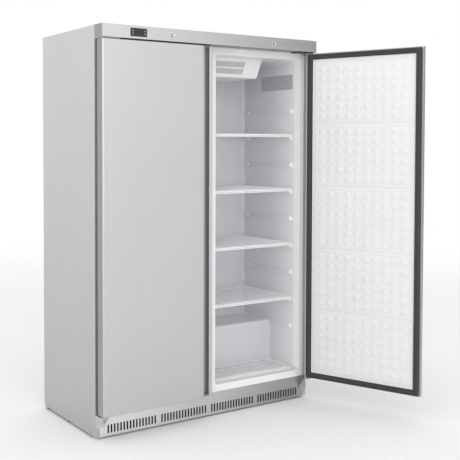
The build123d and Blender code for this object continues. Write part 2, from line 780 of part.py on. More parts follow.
with BuildPart() as left_roller:
    rod((-roller_x - roller_width / 2, roller_y, roller_radius), (1, 0, 0), roller_radius, roller_width)
    fillet(left_roller.edges(), roller_axle / 2)
    rod(
        (-roller_x - roller_width / 2, roller_y, roller_radius), (1, 0, 0), roller_axle + roller_fit,
        roller_width, Mode.SUBTRACT)
pieces["left_roller"] = left_roller.part
pieces["right_roller"] = left_roller.part.mirror(Plane.YZ)

# Compressor: a domed steel pot on two feet straps, standing on rubber grommets
strap_bottom = base_top + grommet_height
pot_bottom = strap_bottom + cheek
pot_top = pot_bottom + compressor_height
dome = 0.45 * compressor_radius
dome_sphere = (compressor_radius ** 2 + dome ** 2) / (2 * dome)
dome_turn = asin(compressor_radius / dome_sphere) / 2
terminal_depth = 24.0
with BuildPart() as compressor:
    with BuildSketch(Plane.XZ.offset(-compressor_y)):
        with BuildLine():
            Polyline(
                (compressor_x, pot_top), (compressor_x, pot_bottom),
                (compressor_x + 0.7 * compressor_radius, pot_bottom),
                (compressor_x + compressor_radius, pot_bottom + 0.3 * compressor_radius),
                (compressor_x + compressor_radius, pot_top - dome))
            ThreePointArc(
                (compressor_x + compressor_radius, pot_top - dome),
                (compressor_x + dome_sphere * sin(dome_turn), pot_top - dome_sphere * (1 - cos(dome_turn))),
                (compressor_x, pot_top))
        make_face()
    revolve(axis=Axis((compressor_x, compressor_y, 0), (0, 0, 1)))
    for sign in (-1, 1):
        block(
            (compressor_x - leg_length / 2, compressor_x + leg_length / 2),
            (compressor_y + sign * 0.55 * compressor_radius - leg_width / 2,
             compressor_y + sign * 0.55 * compressor_radius + leg_width / 2),
            (strap_bottom, pot_bottom))
    block(
        (compressor_x - compressor_radius - terminal_depth, compressor_x - 0.8 * compressor_radius),
        (compressor_y - leg_width / 2, compressor_y + leg_width / 2),
        (pot_bottom + 0.3 * compressor_height, pot_bottom + 0.75 * compressor_height))
pieces["compressor"] = compressor.part

grommet_x = leg_length / 2 - grommet_radius - cheek
with BuildPart() as compressor_grommets:
    for x in (compressor_x - grommet_x, compressor_x + grommet_x):
        for y in (compressor_y - 0.55 * compressor_radius, compressor_y + 0.55 * compressor_radius):
            rod((x, y, base_top), (0, 0, 1), grommet_radius, grommet_height)
pieces["compressor_grommets"] = Compound(compressor_grommets.part.solids())

# Condenser: plate fins on tubes between two end plates
def finned_block(low, high, count):
    """Row of plate fins joined by three cross tubes, filling the box between two corners."""
    (x0, y0, z0), (x1, y1, z1) = low, high
    step = (y1 - y0 - fin_thickness) / (count - 1)
    with BuildPart() as fins:
        with BuildSketch(Plane.XY.offset(z0)):
            for k in range(count):
                with Locations(((x0 + x1) / 2, y0 + fin_thickness / 2 + k * step)):
                    Rectangle(x1 - x0, fin_thickness)
        extrude(amount=z1 - z0)
        for share in (0.2, 0.5, 0.8):
            rod(((x0 + x1) / 2, y0, z0 + share * (z1 - z0)), (0, 1, 0), pipe_radius, y1 - y0)
    return fins.part


condenser_y = (
    bay_front + bay_depth / 2 - condenser_span / 2, bay_front + bay_depth / 2 + condenser_span / 2)
condenser_foot = 10.0
with BuildPart() as condenser:
    add(finned_block(
        (condenser_x - condenser_thickness / 2, condenser_y[0], base_top + condenser_foot),
        (condenser_x + condenser_thickness / 2, condenser_y[1], base_top + condenser_foot + condenser_height),
        fin_count))
    for y in condenser_y:
        block(
            (condenser_x - condenser_thickness / 2, condenser_x + condenser_thickness / 2),
            (y - sheet, y + sheet), (base_top, base_top + condenser_foot + condenser_height))
pieces["condenser"] = condenser.part

# Fans: moulded propellers, one behind each air cooler's slits and one beside the condenser
evaporator_fan_x = cover_left + 0.36 * cover_width
evaporator_fan_z = cavity_top - cover_drop / 2
evaporator_fan_y = cover_front_bottom + hub_length + 2 * fan_standoff
condenser_fan_x = condenser_x + condenser_thickness / 2 + fan_standoff
condenser_fan_y = bay_front + bay_depth / 2
condenser_fan_z = base_top + condenser_foot + condenser_height / 2


def fan_wheel(radius):
    """Propeller on a bored hub that starts at the origin and runs along +Z."""
    with BuildPart() as wheel:
        Cylinder(hub_radius, hub_length, align=(Align.CENTER, Align.CENTER, Align.MIN))
        blade = radius - 0.8 * hub_radius
        with Locations((0, 0, hub_length / 2)):
            with PolarLocations(0.8 * hub_radius + blade / 2, fan_blades):
                Box(blade, 0.55 * radius, blade_thickness, rotation=(fan_pitch, 0, 0))
        with BuildSketch():
            Circle(radius)
        extrude(amount=hub_length, mode=Mode.INTERSECT)
        Cylinder(
            shaft_radius + shaft_fit, hub_length, align=(Align.CENTER, Align.CENTER, Align.MIN),
            mode=Mode.SUBTRACT)
    return wheel.part


evaporator_wheel = fan_wheel(evaporator_fan_radius)
right_fan_plane = Plane(
    (evaporator_fan_x, evaporator_fan_y - hub_length, evaporator_fan_z), z_dir=(0, 1, 0))
left_fan_plane = Plane(
    (-evaporator_fan_x, evaporator_fan_y - hub_length, evaporator_fan_z), z_dir=(0, 1, 0))
condenser_fan_plane = Plane((condenser_fan_x, condenser_fan_y, condenser_fan_z), z_dir=(1, 0, 0))
pieces["right_evaporator_fan"] = evaporator_wheel.moved(right_fan_plane.location)
pieces["left_evaporator_fan"] = evaporator_wheel.moved(left_fan_plane.location)
pieces["condenser_fan"] = fan_wheel(fan_radius).moved(condenser_fan_plane.location)

# Fan motors: round motors on folded brackets, with the shafts that carry the fans
motor_y = evaporator_fan_y + fan_standoff
motor_x = condenser_fan_x + hub_length + fan_standoff
with BuildPart() as fan_motors:
    for sign in (-1, 1):
        x = sign * evaporator_fan_x
        rod((x, motor_y, evaporator_fan_z), (0, 1, 0), motor_radius, motor_length)
        rod(
            (x, evaporator_fan_y - hub_length, evaporator_fan_z), (0, 1, 0), shaft_radius,
            hub_length + fan_standoff)
        block(
            (x - motor_radius / 2, x + motor_radius / 2),
            (motor_y + motor_length - cheek, motor_y + motor_length),
            (evaporator_fan_z, cavity_top))
        block(
            (x - motor_radius / 2, x + motor_radius / 2),
            (motor_y + motor_length - motor_radius, motor_y + motor_length),
            (cavity_top - cheek, cavity_top))
    rod((motor_x, condenser_fan_y, condenser_fan_z), (1, 0, 0), motor_radius, motor_length)
    rod(
        (condenser_fan_x, condenser_fan_y, condenser_fan_z), (1, 0, 0), shaft_radius,
        hub_length + fan_standoff)
    block(
        (motor_x + motor_length - cheek, motor_x + motor_length),
        (condenser_fan_y - motor_radius, condenser_fan_y + motor_radius), (base_top, condenser_fan_z))
    block(
        (motor_x + motor_length - cheek, motor_x + motor_length + motor_radius),
        (condenser_fan_y - motor_radius, condenser_fan_y + motor_radius), (base_top, base_top + cheek))
pieces["fan_motors"] = Compound(fan_motors.part.solids())

# Refrigerant lines: copper pipe from the compressor to the condenser, and up into the foam
line_z = pot_bottom + 0.55 * compressor_height
run_y = bay_front + 2.5 * pipe_radius
with BuildPart() as discharge_line:
    with BuildLine():
        FilletPolyline(
            (compressor_x, compressor_y - 0.9 * compressor_radius, line_z), (compressor_x, run_y, line_z),
            (condenser_x, run_y, line_z), (condenser_x, condenser_y[0] - sheet, line_z),
            radius=pipe_bend / 2)
    with BuildSketch(
        Plane((compressor_x, compressor_y - 0.9 * compressor_radius, line_z), z_dir=(0, -1, 0))):
        Circle(pipe_radius)
    sweep()
    add(compressor.part, mode=Mode.SUBTRACT)
with BuildPart() as suction_line:
    with BuildLine():
        FilletPolyline(
            (compressor_x, compressor_y + 0.9 * compressor_radius, line_z),
            (compressor_x, compressor_y + compressor_radius + pipe_bend / 2, line_z),
            (compressor_x, compressor_y + compressor_radius + pipe_bend / 2, bay_top - sheet),
            radius=pipe_bend / 4)
    with BuildSketch(
        Plane((compressor_x, compressor_y + 0.9 * compressor_radius, line_z), z_dir=(0, 1, 0))):
        Circle(pipe_radius)
    sweep()
    add(compressor.part, mode=Mode.SUBTRACT)
drier_x = condenser_x - condenser_thickness / 2 - 2 * pipe_radius
drier_y = condenser_y[0] - 2 * pipe_radius
drier_z = (
    base_top + condenser_foot + 0.3 * condenser_height,
    base_top + condenser_foot + 0.8 * condenser_height)
with BuildPart() as liquid_line:
    rod(
        (drier_x, drier_y, base_top),
        (0, 0, 1), pipe_radius, bay_top - sheet - base_top)
    rod(
        (drier_x, drier_y, drier_z[0]),
        (0, 0, 1), 2 * pipe_radius, drier_z[1] - drier_z[0])
pieces["refrigerant_lines"] = Compound(
    [*discharge_line.part.solids(), *suction_line.part.solids(), *liquid_line.part.solids()])

# Drain tray: catches the melt water in the warm air of the machine bay
tray_length = 340.0
tray_x = (-tray_length / 2, tray_length / 2)
tray_margin = 22.0
tray_height = 46.0
with BuildPart() as drain_tray:
    block(
        tray_x, (bay_front + tray_margin, carcass_depth - tray_margin),
        (base_top, base_top + tray_height))
    block(
        (tray_x[0] + cheek, tray_x[1] - cheek),
        (bay_front + tray_margin + cheek, carcass_depth - tray_margin - cheek),
        (base_top + cheek, base_top + tray_height), Mode.SUBTRACT)
pieces["drain_tray"] = drain_tray.part

# Terminal box: moulded box for the mains connection, with its gland through the rear cover
box_width = 67.0
box_gap = 128.0
box_x = (compressor_x - box_gap - box_width, compressor_x - box_gap)
box_height = 92.0
box_depth = 58.0
gland_radius = 9.0
gland_bore = 5.0
gland_proud = 14.0
gland_point = (sum(box_x) / 2, carcass_depth - sheet - fit_gap, base_top + box_height / 2)
with BuildPart() as terminal_box:
    block(box_x, (gland_point[1] - box_depth, gland_point[1]), (base_top, base_top + box_height))
    fillet(terminal_box.edges().filter_by(Axis.Z), cheek)
    rod(gland_point, (0, 1, 0), gland_radius, sheet + fit_gap + gland_proud)
    rod(gland_point, (0, 1, 0), gland_bore, sheet + fit_gap + gland_proud, Mode.SUBTRACT)
pieces["terminal_box"] = terminal_box.part

# Rear cover: slotted sheet over the machine bay
rear_slot_columns = 12
rear_slot_bar = 22.0
rear_slot_pitch_x = 2 * rear_panel_half / (rear_slot_columns + 1)
rear_slot_length = rear_slot_pitch_x - rear_slot_bar
rear_slot_pitch_z = 18.0
with BuildPart() as service_grille:
    with BuildSketch(Plane.XZ.offset(-carcass_depth + sheet)):
        with Locations((0, (base_top + bay_top) / 2)):
            Rectangle(2 * rear_panel_half, bay_top - base_top)
        with Locations((0, base_top + 0.62 * (bay_top - base_top))):
            with GridLocations(rear_slot_pitch_x, rear_slot_pitch_z, rear_slot_columns, 7):
                SlotOverall(rear_slot_length, slot_width, mode=Mode.SUBTRACT)
        with Locations((gland_point[0], gland_point[2])):
            Circle(gland_radius + fit_gap, mode=Mode.SUBTRACT)
    extrude(amount=-sheet)
pieces["service_grille"] = service_grille.part

# Air coolers: finned blocks hung from each ceiling behind a white cover with slanted slits
cooler_x = cover_left + cover_width / 2
cooler_back = cover_back - 2 * fan_standoff
cooler_top = cavity_top - cooler_hang
with BuildPart() as cooler:
    add(finned_block(
        (cooler_x - cooler_width / 2, cooler_back - cooler_depth, cooler_top - cooler_height),
        (cooler_x + cooler_width / 2, cooler_back, cooler_top), fin_count))
    for x in (cooler_x - cooler_width / 3, cooler_x + cooler_width / 3):
        block(
            (x - rim, x + rim), (cooler_back - cooler_depth, cooler_back),
            (cooler_top - cooler_hang, cavity_top))
pieces["evaporators"] = both_sides(cooler.part.mirror(Plane.YZ))

cover_bottom = cavity_top - cover_drop
slope_run = cover_front_bottom - cover_front_top
with BuildPart() as cover:
    for drawn_in, mode in ((0, Mode.ADD), (cover_wall, Mode.SUBTRACT)):
        with BuildSketch(Plane.YZ.offset(cover_left + drawn_in)):
            with BuildLine():
                Polyline(
                    (cover_front_top + drawn_in, cavity_top),
                    (cover_front_bottom + drawn_in, cover_bottom + drawn_in),
                    (cover_back - drawn_in, cover_bottom + drawn_in),
                    (cover_back - drawn_in, cavity_top), close=True)
            make_face()
        extrude(amount=cover_width - 2 * drawn_in, mode=mode)
    slope = Plane(
        origin=(evaporator_fan_x, (cover_front_top + cover_front_bottom) / 2, cavity_top - cover_drop / 2),
        x_dir=(1, 0, 0), z_dir=(0, -cover_drop, -slope_run))
    with BuildSketch(slope):
        with GridLocations(slit_pitch, slit_row_pitch, slit_count, 2):
            Rectangle(slit_width, slit_length, rotation=-slit_lean)
    extrude(amount=2 * cover_wall, both=True, mode=Mode.SUBTRACT)
pieces["evaporator_covers"] = both_sides(cover.part.mirror(Plane.YZ))

# Shelves: white wire grids, a welded rim and fore-and-aft wires over two cross rails
shelf_x = (middle_wall + shelf_side_gap, cavity_right - shelf_side_gap)
shelf_width = shelf_x[1] - shelf_x[0]


def wire_shelf(back, rail_places, rail_height, rail_inset):
    """Right-hand shelf with its underside at the floor, from the shelf front to a given back edge."""
    depth = back - shelf_front
    gaps = int((shelf_width - rim) / wire_pitch)
    with BuildPart() as shelf:
        with BuildSketch(Plane.XY.offset(rail_height)):
            with Locations((sum(shelf_x) / 2, shelf_front + depth / 2)):
                Rectangle(shelf_width, depth)
                with GridLocations((shelf_width - rim) / gaps, 0, gaps, 1):
                    Rectangle((shelf_width - rim) / gaps - wire, depth - 2 * rim, mode=Mode.SUBTRACT)
        extrude(amount=wire)
        for y in rail_places:
            block(
                (shelf_x[0] + rail_inset, shelf_x[1] - rail_inset), (y - rail / 2, y + rail / 2),
                (0, rail_height))
    return shelf.part


upper_shelf = wire_shelf(shelf_back, (front_lug, rear_lug), rail, 0)
bottom_shelf = wire_shelf(
    bottom_shelf_back, (front_lug, hump_front - 2 * lug_width), 2 * rail, liner_corner)
shelf_heights = [
    lowest_support + support_pitch * (2 * k + 1) + lug_height / 2 + shelf_rest_gap
    for k in range(shelf_levels)]
shelves = [upper_shelf.moved(Location((0, 0, z))) for z in reversed(shelf_heights)]
shelves.append(bottom_shelf.moved(Location((0, 0, compartment_floor + shelf_rest_gap))))
for k, shelf in enumerate(shelves, start=1):
    pieces[f"right_shelf_{k}"] = shelf
pieces["left_shelves"] = Compound(
    [solid for shelf in shelves for solid in shelf.mirror(Plane.YZ).solids()])

# The part's origin: on the floor, under the middle of the space taken up with the right door open
turn = radians(open_angle)
lip_from_hinge = (-hinge_x - door_free, lip_front - hinge_y)
seal_from_hinge = (-hinge_x - gasket_x[1], -gasket_seat_gap - hinge_y)
reach_right = hinge_x + lip_from_hinge[0] * cos(turn) - lip_from_hinge[1] * sin(turn)
reach_front = hinge_y + seal_from_hinge[0] * sin(turn) + seal_from_hinge[1] * cos(turn)
reach_front += gasket_round * (sin(turn) - cos(turn) - 1)
origin_x = round((reach_right - half) / 2)
origin_y = round((reach_front + carcass_depth) / 2)

for name, part in pieces.items():
    placed = part.moved(Location((-origin_x, -origin_y, 0)))
    placed.label = name
    export_step(placed, f"parts/{name}.step")

print("pieces", len(pieces))
print("origin from the cabinet's middle and carcass front", origin_x, origin_y)
print("right hinge", hinge_x - origin_x, hinge_y - origin_y)
print("left hinge", -hinge_x - origin_x, hinge_y - origin_y)
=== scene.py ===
import json
from math import pi, radians

import bmesh
import bpy
import numpy as np
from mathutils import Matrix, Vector


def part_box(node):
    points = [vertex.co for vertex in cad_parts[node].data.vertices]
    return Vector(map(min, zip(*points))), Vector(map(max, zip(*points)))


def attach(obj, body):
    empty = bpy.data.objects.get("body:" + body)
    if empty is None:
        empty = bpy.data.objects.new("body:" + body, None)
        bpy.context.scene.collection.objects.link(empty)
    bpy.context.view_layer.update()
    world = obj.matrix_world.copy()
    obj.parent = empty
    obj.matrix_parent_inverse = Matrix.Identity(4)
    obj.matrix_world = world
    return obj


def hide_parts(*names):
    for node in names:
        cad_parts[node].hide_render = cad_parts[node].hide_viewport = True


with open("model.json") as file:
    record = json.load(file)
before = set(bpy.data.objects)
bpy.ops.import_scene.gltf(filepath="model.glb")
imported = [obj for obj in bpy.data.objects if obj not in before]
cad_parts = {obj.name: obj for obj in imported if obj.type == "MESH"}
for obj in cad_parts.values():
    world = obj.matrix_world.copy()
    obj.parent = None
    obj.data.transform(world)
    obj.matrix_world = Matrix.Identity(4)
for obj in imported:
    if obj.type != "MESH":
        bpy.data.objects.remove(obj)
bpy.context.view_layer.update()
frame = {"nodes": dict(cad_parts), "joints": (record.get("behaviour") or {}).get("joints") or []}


# Base plate, floor pan, back panel, rear cover and roller forks are galvanised sheet, cut and folded.
# They are riveted into a tray that carries the feet, the rollers and the machinery.


class Shade:
    """A shader socket that takes part in sums: each operator adds one Math node behind it."""

    def __init__(self, tree, socket):
        self.tree, self.socket = tree, socket

    def node(self, kind, settings=None, sockets=None, out=0):
        """A node of any kind: its settings are set first, then the values or links of its sockets."""
        made = self.tree.nodes.new(kind)
        for key, value in (settings or {}).items():
            if key == "stops":
                while len(made.color_ramp.elements) < len(value):
                    made.color_ramp.elements.new(0.5)
                for stop, (place, colour) in zip(made.color_ramp.elements, value):
                    stop.position, stop.color = place, (*colour, 1)
            else:
                setattr(made, key, value)
        for key, value in (sockets or {}).items():
            if isinstance(value, Shade):
                self.tree.links.new(value.socket, made.inputs[key])
            else:
                made.inputs[key].default_value = value
        return Shade(self.tree, made.outputs[out])

    def sum(self, operation, first, second):
        """One Math node on two values, either of which may be a socket."""
        return self.node("ShaderNodeMath", {"operation": operation}, {0: first, 1: second})

    def __add__(self, other):
        return self.sum("ADD", self, other)

    def __radd__(self, other):
        return self.sum("ADD", other, self)

    def __rsub__(self, other):
        return self.sum("SUBTRACT", other, self)

    def __mul__(self, other):
        return self.sum("MULTIPLY", self, other)

    def __rmul__(self, other):
        return self.sum("MULTIPLY", other, self)

    def __pow__(self, other):
        return self.sum("POWER", self, other)


def speckle(place, scale, stretch=(1, 1, 1), detail=3.0):
    """Noise from 0 to 1: its grain is 1/scale metres across, and shorter along an axis that is stretched."""
    spread = place.node("ShaderNodeMapping", None, {"Vector": place, "Scale": stretch})
    return place.node("ShaderNodeTexNoise", None, {"Vector": spread, "Scale": scale, "Detail": detail})


def tint(share, low, high):
    """Colour between two, by a share from 0 to 1. The first may be a colour that varies itself."""
    first = low if isinstance(low, Shade) else (*low, 1)
    return share.node("ShaderNodeMix", {"data_type": "RGBA"}, {0: share, 6: first, 7: (*high, 1)}, out=2)


def relief(height, depth):
    """Bent normals from a height, which is a share of a depth in metres."""
    return height.node("ShaderNodeBump", None, {"Height": height, "Distance": depth, "Strength": 1.0})


def coat(name, recipe, **fixed):
    """A finish. The recipe turns Object coordinates into what varies; the fixed sockets hold one value."""
    material = bpy.data.materials.new(name)
    material.use_nodes = True
    tree = material.node_tree
    shader = tree.nodes["Principled BSDF"]
    for key, value in fixed.items():
        shader.inputs[key.replace("_", " ")].default_value = value
    place = Shade(tree, tree.nodes.new("ShaderNodeTexCoord").outputs["Object"])
    for key, value in recipe(place).items():
        tree.links.new(value.socket, shader.inputs[key])
    return material


def dress(material, *names):
    """Gives CAD nodes a finish."""
    for name in names:
        frame["nodes"][name].data.materials.clear()
        frame["nodes"][name].data.materials.append(material)


def galvanised(place):
    """Zinc spangle: flat crystals a centimetre across, each a little lighter or duller than the next."""
    crystal = place.node("ShaderNodeTexVoronoi", None, {"Vector": place, "Scale": 90.0}, out=1)
    grain = crystal.node("ShaderNodeSeparateColor", None, {"Color": crystal})
    haze = speckle(place, 5.0)
    return {
        "Base Color": tint(0.6 * grain + 0.4 * haze, (0.40, 0.41, 0.42), (0.60, 0.61, 0.62)),
        "Roughness": 0.34 + 0.16 * grain + 0.08 * haze,
        "Normal": relief(grain, 0.00004),
    }


zinc = coat("galvanised_sheet", galvanised, Metallic=0.85)
dress(zinc, "base_plate", "floor_pan", "back_panel", "service_grille", "roller_brackets")


# Four levelling feet stand under the cabinet: moulded pads with a hexagon for a spanner, on steel studs.
# The front pair is pale nylon, and the pair half-way back is smaller and black.


def shell(name, skins, coating, body, slot, *stands_for, crease=38):
    """A mesh from grids of points, each rows by columns by xyz with flags that join its ends.

    Neighbours in a grid become quads, equal points are merged, and faces are turned outwards.
    """
    points, quads, first = [], [], 0
    for grid, join_rows, join_columns in skins:
        rows, columns = grid.shape[:2]
        index = first + np.arange(rows * columns).reshape(rows, columns)
        index = np.vstack([index, index[:1]]) if join_rows else index
        index = np.hstack([index, index[:, :1]]) if join_columns else index
        corners = [index[:-1, :-1], index[1:, :-1], index[1:, 1:], index[:-1, 1:]]
        quads.append(np.stack(corners, -1).reshape(-1, 4))
        points.append(grid.reshape(-1, 3))
        first += rows * columns
    mesh = bpy.data.meshes.new(name)
    mesh.from_pydata(np.concatenate(points).tolist(), [], np.concatenate(quads).tolist())
    work = bmesh.new()
    work.from_mesh(mesh)
    bmesh.ops.remove_doubles(work, verts=work.verts, dist=1e-6)
    bmesh.ops.recalc_face_normals(work, faces=work.faces)
    work.to_mesh(mesh)
    work.free()
    mesh.shade_smooth()
    mesh.set_sharp_from_angle(angle=radians(crease))
    mesh.materials.append(coating)
    piece = bpy.data.objects.new(name, mesh)
    bpy.context.scene.collection.objects.link(piece)
    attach(piece, body)
    if stands_for:
        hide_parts(*stands_for)
    return piece


def turned(profile, centre, sides=40, flats=None):
    """Profile of radius and height turned about Z: x = r cos a, y = r sin a.

    Rows listed in flats are drawn out to a hexagon: r divided by the cosine of the angle to a side's middle.
    """
    profile = np.asarray(profile, float)
    angle = np.linspace(0, 2 * pi, sides, endpoint=False)
    radius = np.repeat(profile[:, :1], sides, 1)
    if flats:
        side = (angle + pi / 6) % (pi / 3) - pi / 6
        radius[list(flats)] /= np.cos(side)
    height = np.repeat(profile[:, 1:], sides, 1)
    grid = np.stack([radius * np.cos(angle), radius * np.sin(angle), height], -1)
    return grid + np.asarray(centre, float), False, True


def moulded_nylon(low, high):
    """Recipe for moulded nylon: a fine matt grain and faint clouding between two tones."""
    def recipe(place):
        grain, cloud = speckle(place, 900.0), speckle(place, 14.0)
        return {
            "Base Color": tint(0.35 * grain + 0.65 * cloud, low, high),
            "Roughness": 0.42 + 0.14 * grain,
            "Normal": relief(grain, 0.00003),
        }
    return recipe


pale_nylon = coat("pale_nylon", moulded_nylon((0.52, 0.52, 0.50), (0.66, 0.66, 0.64)))
black_nylon = coat("black_nylon", moulded_nylon((0.018, 0.018, 0.020), (0.045, 0.045, 0.048)))
front_pad, middle_pad, hexagon, stud_radius, stud_top = 0.015, 0.012, 0.0085, 0.0047, 0.046
foot_low, foot_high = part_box("levelling_feet")
foot_x = (foot_low.x + front_pad, foot_high.x - front_pad)
base_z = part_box("base_plate")[0].z
under_base = base_z - 0.0001
stud = [(stud_radius, base_z), (stud_radius, stud_top - 0.002), (0.0036, stud_top), (0, stud_top)]
rows = (("front", foot_low.y + front_pad, front_pad, pale_nylon),
        ("middle", foot_high.y - middle_pad, middle_pad, black_nylon))
for row, y, pad, coating in rows:
    profile = [
        (0, 0), (pad - 0.0015, 0), (pad, 0.0012), (pad, 0.0050), (pad - 0.002, 0.0072), (0.0088, 0.0078),
        (hexagon, 0.0080), (hexagon, base_z - 0.0008), (0.0080, under_base), (stud_radius, under_base), *stud]
    feet = [turned(profile, (x, y, 0), 48, flats=(6, 7)) for x in foot_x]
    shell(f"{row}_feet", feet, coating, "cabinet", "pale_nylon", "levelling_feet")


# Two rollers carry the back, so that the freezer tips and rolls: black nylon wheels on steel axles.
# The forks beside them are pressed from the same sheet as the base.
dress(black_nylon, "left_roller", "right_roller")


# The machine bay behind the rear cover holds the compressor, a black enamelled pot with a welded waist.
# It stands on rubber grommets, between a drain tray and a box for the mains.


def enamel(place):
    """Stoved enamel: deep black with a slight orange peel and a film of dust."""
    peel, dust = speckle(place, 260.0, detail=1.0), speckle(place, 22.0, detail=6.0)
    return {
        "Base Color": tint(dust ** 3, (0.012, 0.012, 0.013), (0.075, 0.072, 0.066)),
        "Roughness": 0.22 + 0.30 * dust,
        "Normal": relief(peel, 0.00008),
    }


def soft_rubber(place):
    """Matt rubber: nearly black, with a chalky bloom."""
    bloom = speckle(place, 60.0, detail=5.0)
    return {
        "Base Color": tint(bloom, (0.012, 0.012, 0.012), (0.05, 0.05, 0.05)),
        "Roughness": 0.62 + 0.25 * bloom,
        "Normal": relief(bloom, 0.0001),
    }


def drawn_copper(place):
    """Copper pipe: draw lines along it, with brown patches where it has been warm."""
    stain, lines = speckle(place, 30.0, detail=5.0), speckle(place, 1.0, (40, 900, 900))
    return {
        "Base Color": tint(stain, (0.62, 0.30, 0.17), (0.36, 0.17, 0.10)),
        "Roughness": 0.24 + 0.18 * stain + 0.06 * lines,
    }


black_enamel = coat("black_enamel", enamel, Coat_Weight=0.2)
dress(black_enamel, "compressor")
dress(coat("grommet_rubber", soft_rubber), "compressor_grommets")
dress(coat("copper_pipe", drawn_copper, Metallic=1.0), "refrigerant_lines")
dress(pale_nylon, "drain_tray")
dress(black_nylon, "terminal_box", "fan_motors")

pot_low, pot_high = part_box("compressor")
pot_x, pot_y = (pot_low.x + pot_high.x) / 2, (pot_low.y + pot_high.y) / 2
pot_radius = (pot_high.y - pot_low.y) / 2
seam_z, bead_rise, bead_half, bead_root = 0.105, 0.0022, 0.0035, pot_radius - 0.003
ring = np.linspace(-pi / 2, pi / 2, 9)
waist = np.stack([pot_radius - 0.0004 + bead_rise * np.cos(ring), seam_z + bead_half * np.sin(ring)], -1)
seam = np.vstack([[(bead_root, waist[0, 1])], waist, [(bead_root, waist[-1, 1])]])
weld = turned(seam, (pot_x, pot_y, 0), 72)[0]
shell("compressor_seam", [(weld, True, True)], black_enamel, "cabinet", "black_enamel")


# Condenser and air coolers are stacks of thin aluminium fins pressed on to copper tube, with U-bends
# brazed on at the ends. The condenser stands on the base, and the coolers hang from the ceilings.


def slab(low, high):
    """Closed box as a grid: a centre point, the low face's corners, the high face's, and a centre point."""
    low, high = np.asarray(low, float), np.asarray(high, float)
    turn = np.array([(0, 0), (1, 0), (1, 1), (0, 1)])
    face = low[:2] + turn * (high - low)[:2]
    middle = np.repeat(((low + high) / 2)[None, :2], 4, 0)
    flat = [np.column_stack([p, np.full(4, z)]) for p, z in
            ((middle, low[2]), (face, low[2]), (face, high[2]), (middle, high[2]))]
    return np.stack(flat), False, True


def tube(path, radius, across, sides=10):
    """Round bar along a path: each ring is a path point + radius (cos a, sin a) on two directions.

    Both are square to the path, one of them also to a given direction across it. The ends are closed.
    """
    path = np.asarray(path, float)
    along = np.gradient(path, axis=0)
    along /= np.linalg.norm(along, axis=1, keepdims=True)
    side = np.cross(along, across)
    side /= np.linalg.norm(side, axis=1, keepdims=True)
    lift = np.cross(side, along)
    angle = np.linspace(0, 2 * pi, sides, endpoint=False)[None, :, None]
    rings = path[:, None] + radius * (np.cos(angle) * side[:, None] + np.sin(angle) * lift[:, None])
    start, end = np.repeat(path[:1, None], sides, 1), np.repeat(path[-1:, None], sides, 1)
    return np.concatenate([start, rings, end]), False, True


def mill_finish(place):
    """Bright rolled aluminium with a dull film that gathers in patches."""
    film, roll = speckle(place, 18.0, detail=5.0), speckle(place, 1.0, (20, 20, 700))
    return {
        "Base Color": tint(film, (0.72, 0.73, 0.74), (0.52, 0.53, 0.54)),
        "Roughness": 0.28 + 0.22 * film + 0.06 * roll,
    }


fin_metal = coat("fin_aluminium", mill_finish, Metallic=1.0)


def fin_stack(name, node, low, high, count, rows):
    """Fins at equal steps along Y on straight tubes, with bends at the front end: flattened half circles."""
    fin, pipe, steps = 0.0003, 0.0040, 13
    low, high = np.asarray(low, float), np.asarray(high, float)
    places = np.linspace(low[1], high[1] - fin, count)
    skins = [slab((low[0], y, low[2]), (high[0], y + fin, high[2])) for y in places]
    heights = low[2] + (high[2] - low[2]) * (np.arange(rows) + 0.5) / rows
    gap = (heights[1] - heights[0]) / 2
    arc = np.linspace(0, pi, steps)
    for x in low[0] + (high[0] - low[0]) * np.array([0.3, 0.7]):
        for z in heights:
            skins.append(tube([(x, low[1], z), (x, high[1], z)], pipe, (0, 0, 1)))
        for z in heights[:-1:2] + gap:
            bend = np.column_stack(
                [np.full(steps, x), low[1] - gap * np.sin(arc) * 0.3, z + gap * np.cos(arc)])
            skins.append(tube(bend, pipe, (1, 0, 0)))
    return shell(name, skins, fin_metal, "cabinet", "fin_metal", node, crease=30)


base_sheet = 0.002
fin_low, fin_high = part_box("condenser")
fin_stack("condenser_fins", "condenser", (fin_low.x, fin_low.y, base_z + base_sheet), fin_high, 54, 7)
cooler_low, cooler_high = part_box("evaporators")
cooler_width, hanger_inset, hanger_half, hanger_drop = 0.310, 0.05, 0.007, 0.008
for side, x in (("left", cooler_low.x), ("right", cooler_high.x - cooler_width)):
    fin_stack(
        f"{side}_cooler_fins", "evaporators", (x, cooler_low.y + 0.003, cooler_low.z),
        (x + cooler_width, cooler_high.y, cooler_high.z - hanger_drop), 34, 4)
    hangers = [
        slab((x + at - hanger_half, cooler_low.y + 0.004, cooler_high.z - hanger_drop - 0.0005),
             (x + at + hanger_half, cooler_high.y, cooler_high.z))
        for at in (hanger_inset, cooler_width - hanger_inset)]
    shell(f"{side}_cooler_hangers", hangers, zinc, "cabinet", "zinc_sheet")


# The three fans are moulded propellers of black nylon, with twisted blades on a bored hub.
# They push on to the motor shafts, two behind the cooler covers and one beside the condenser.


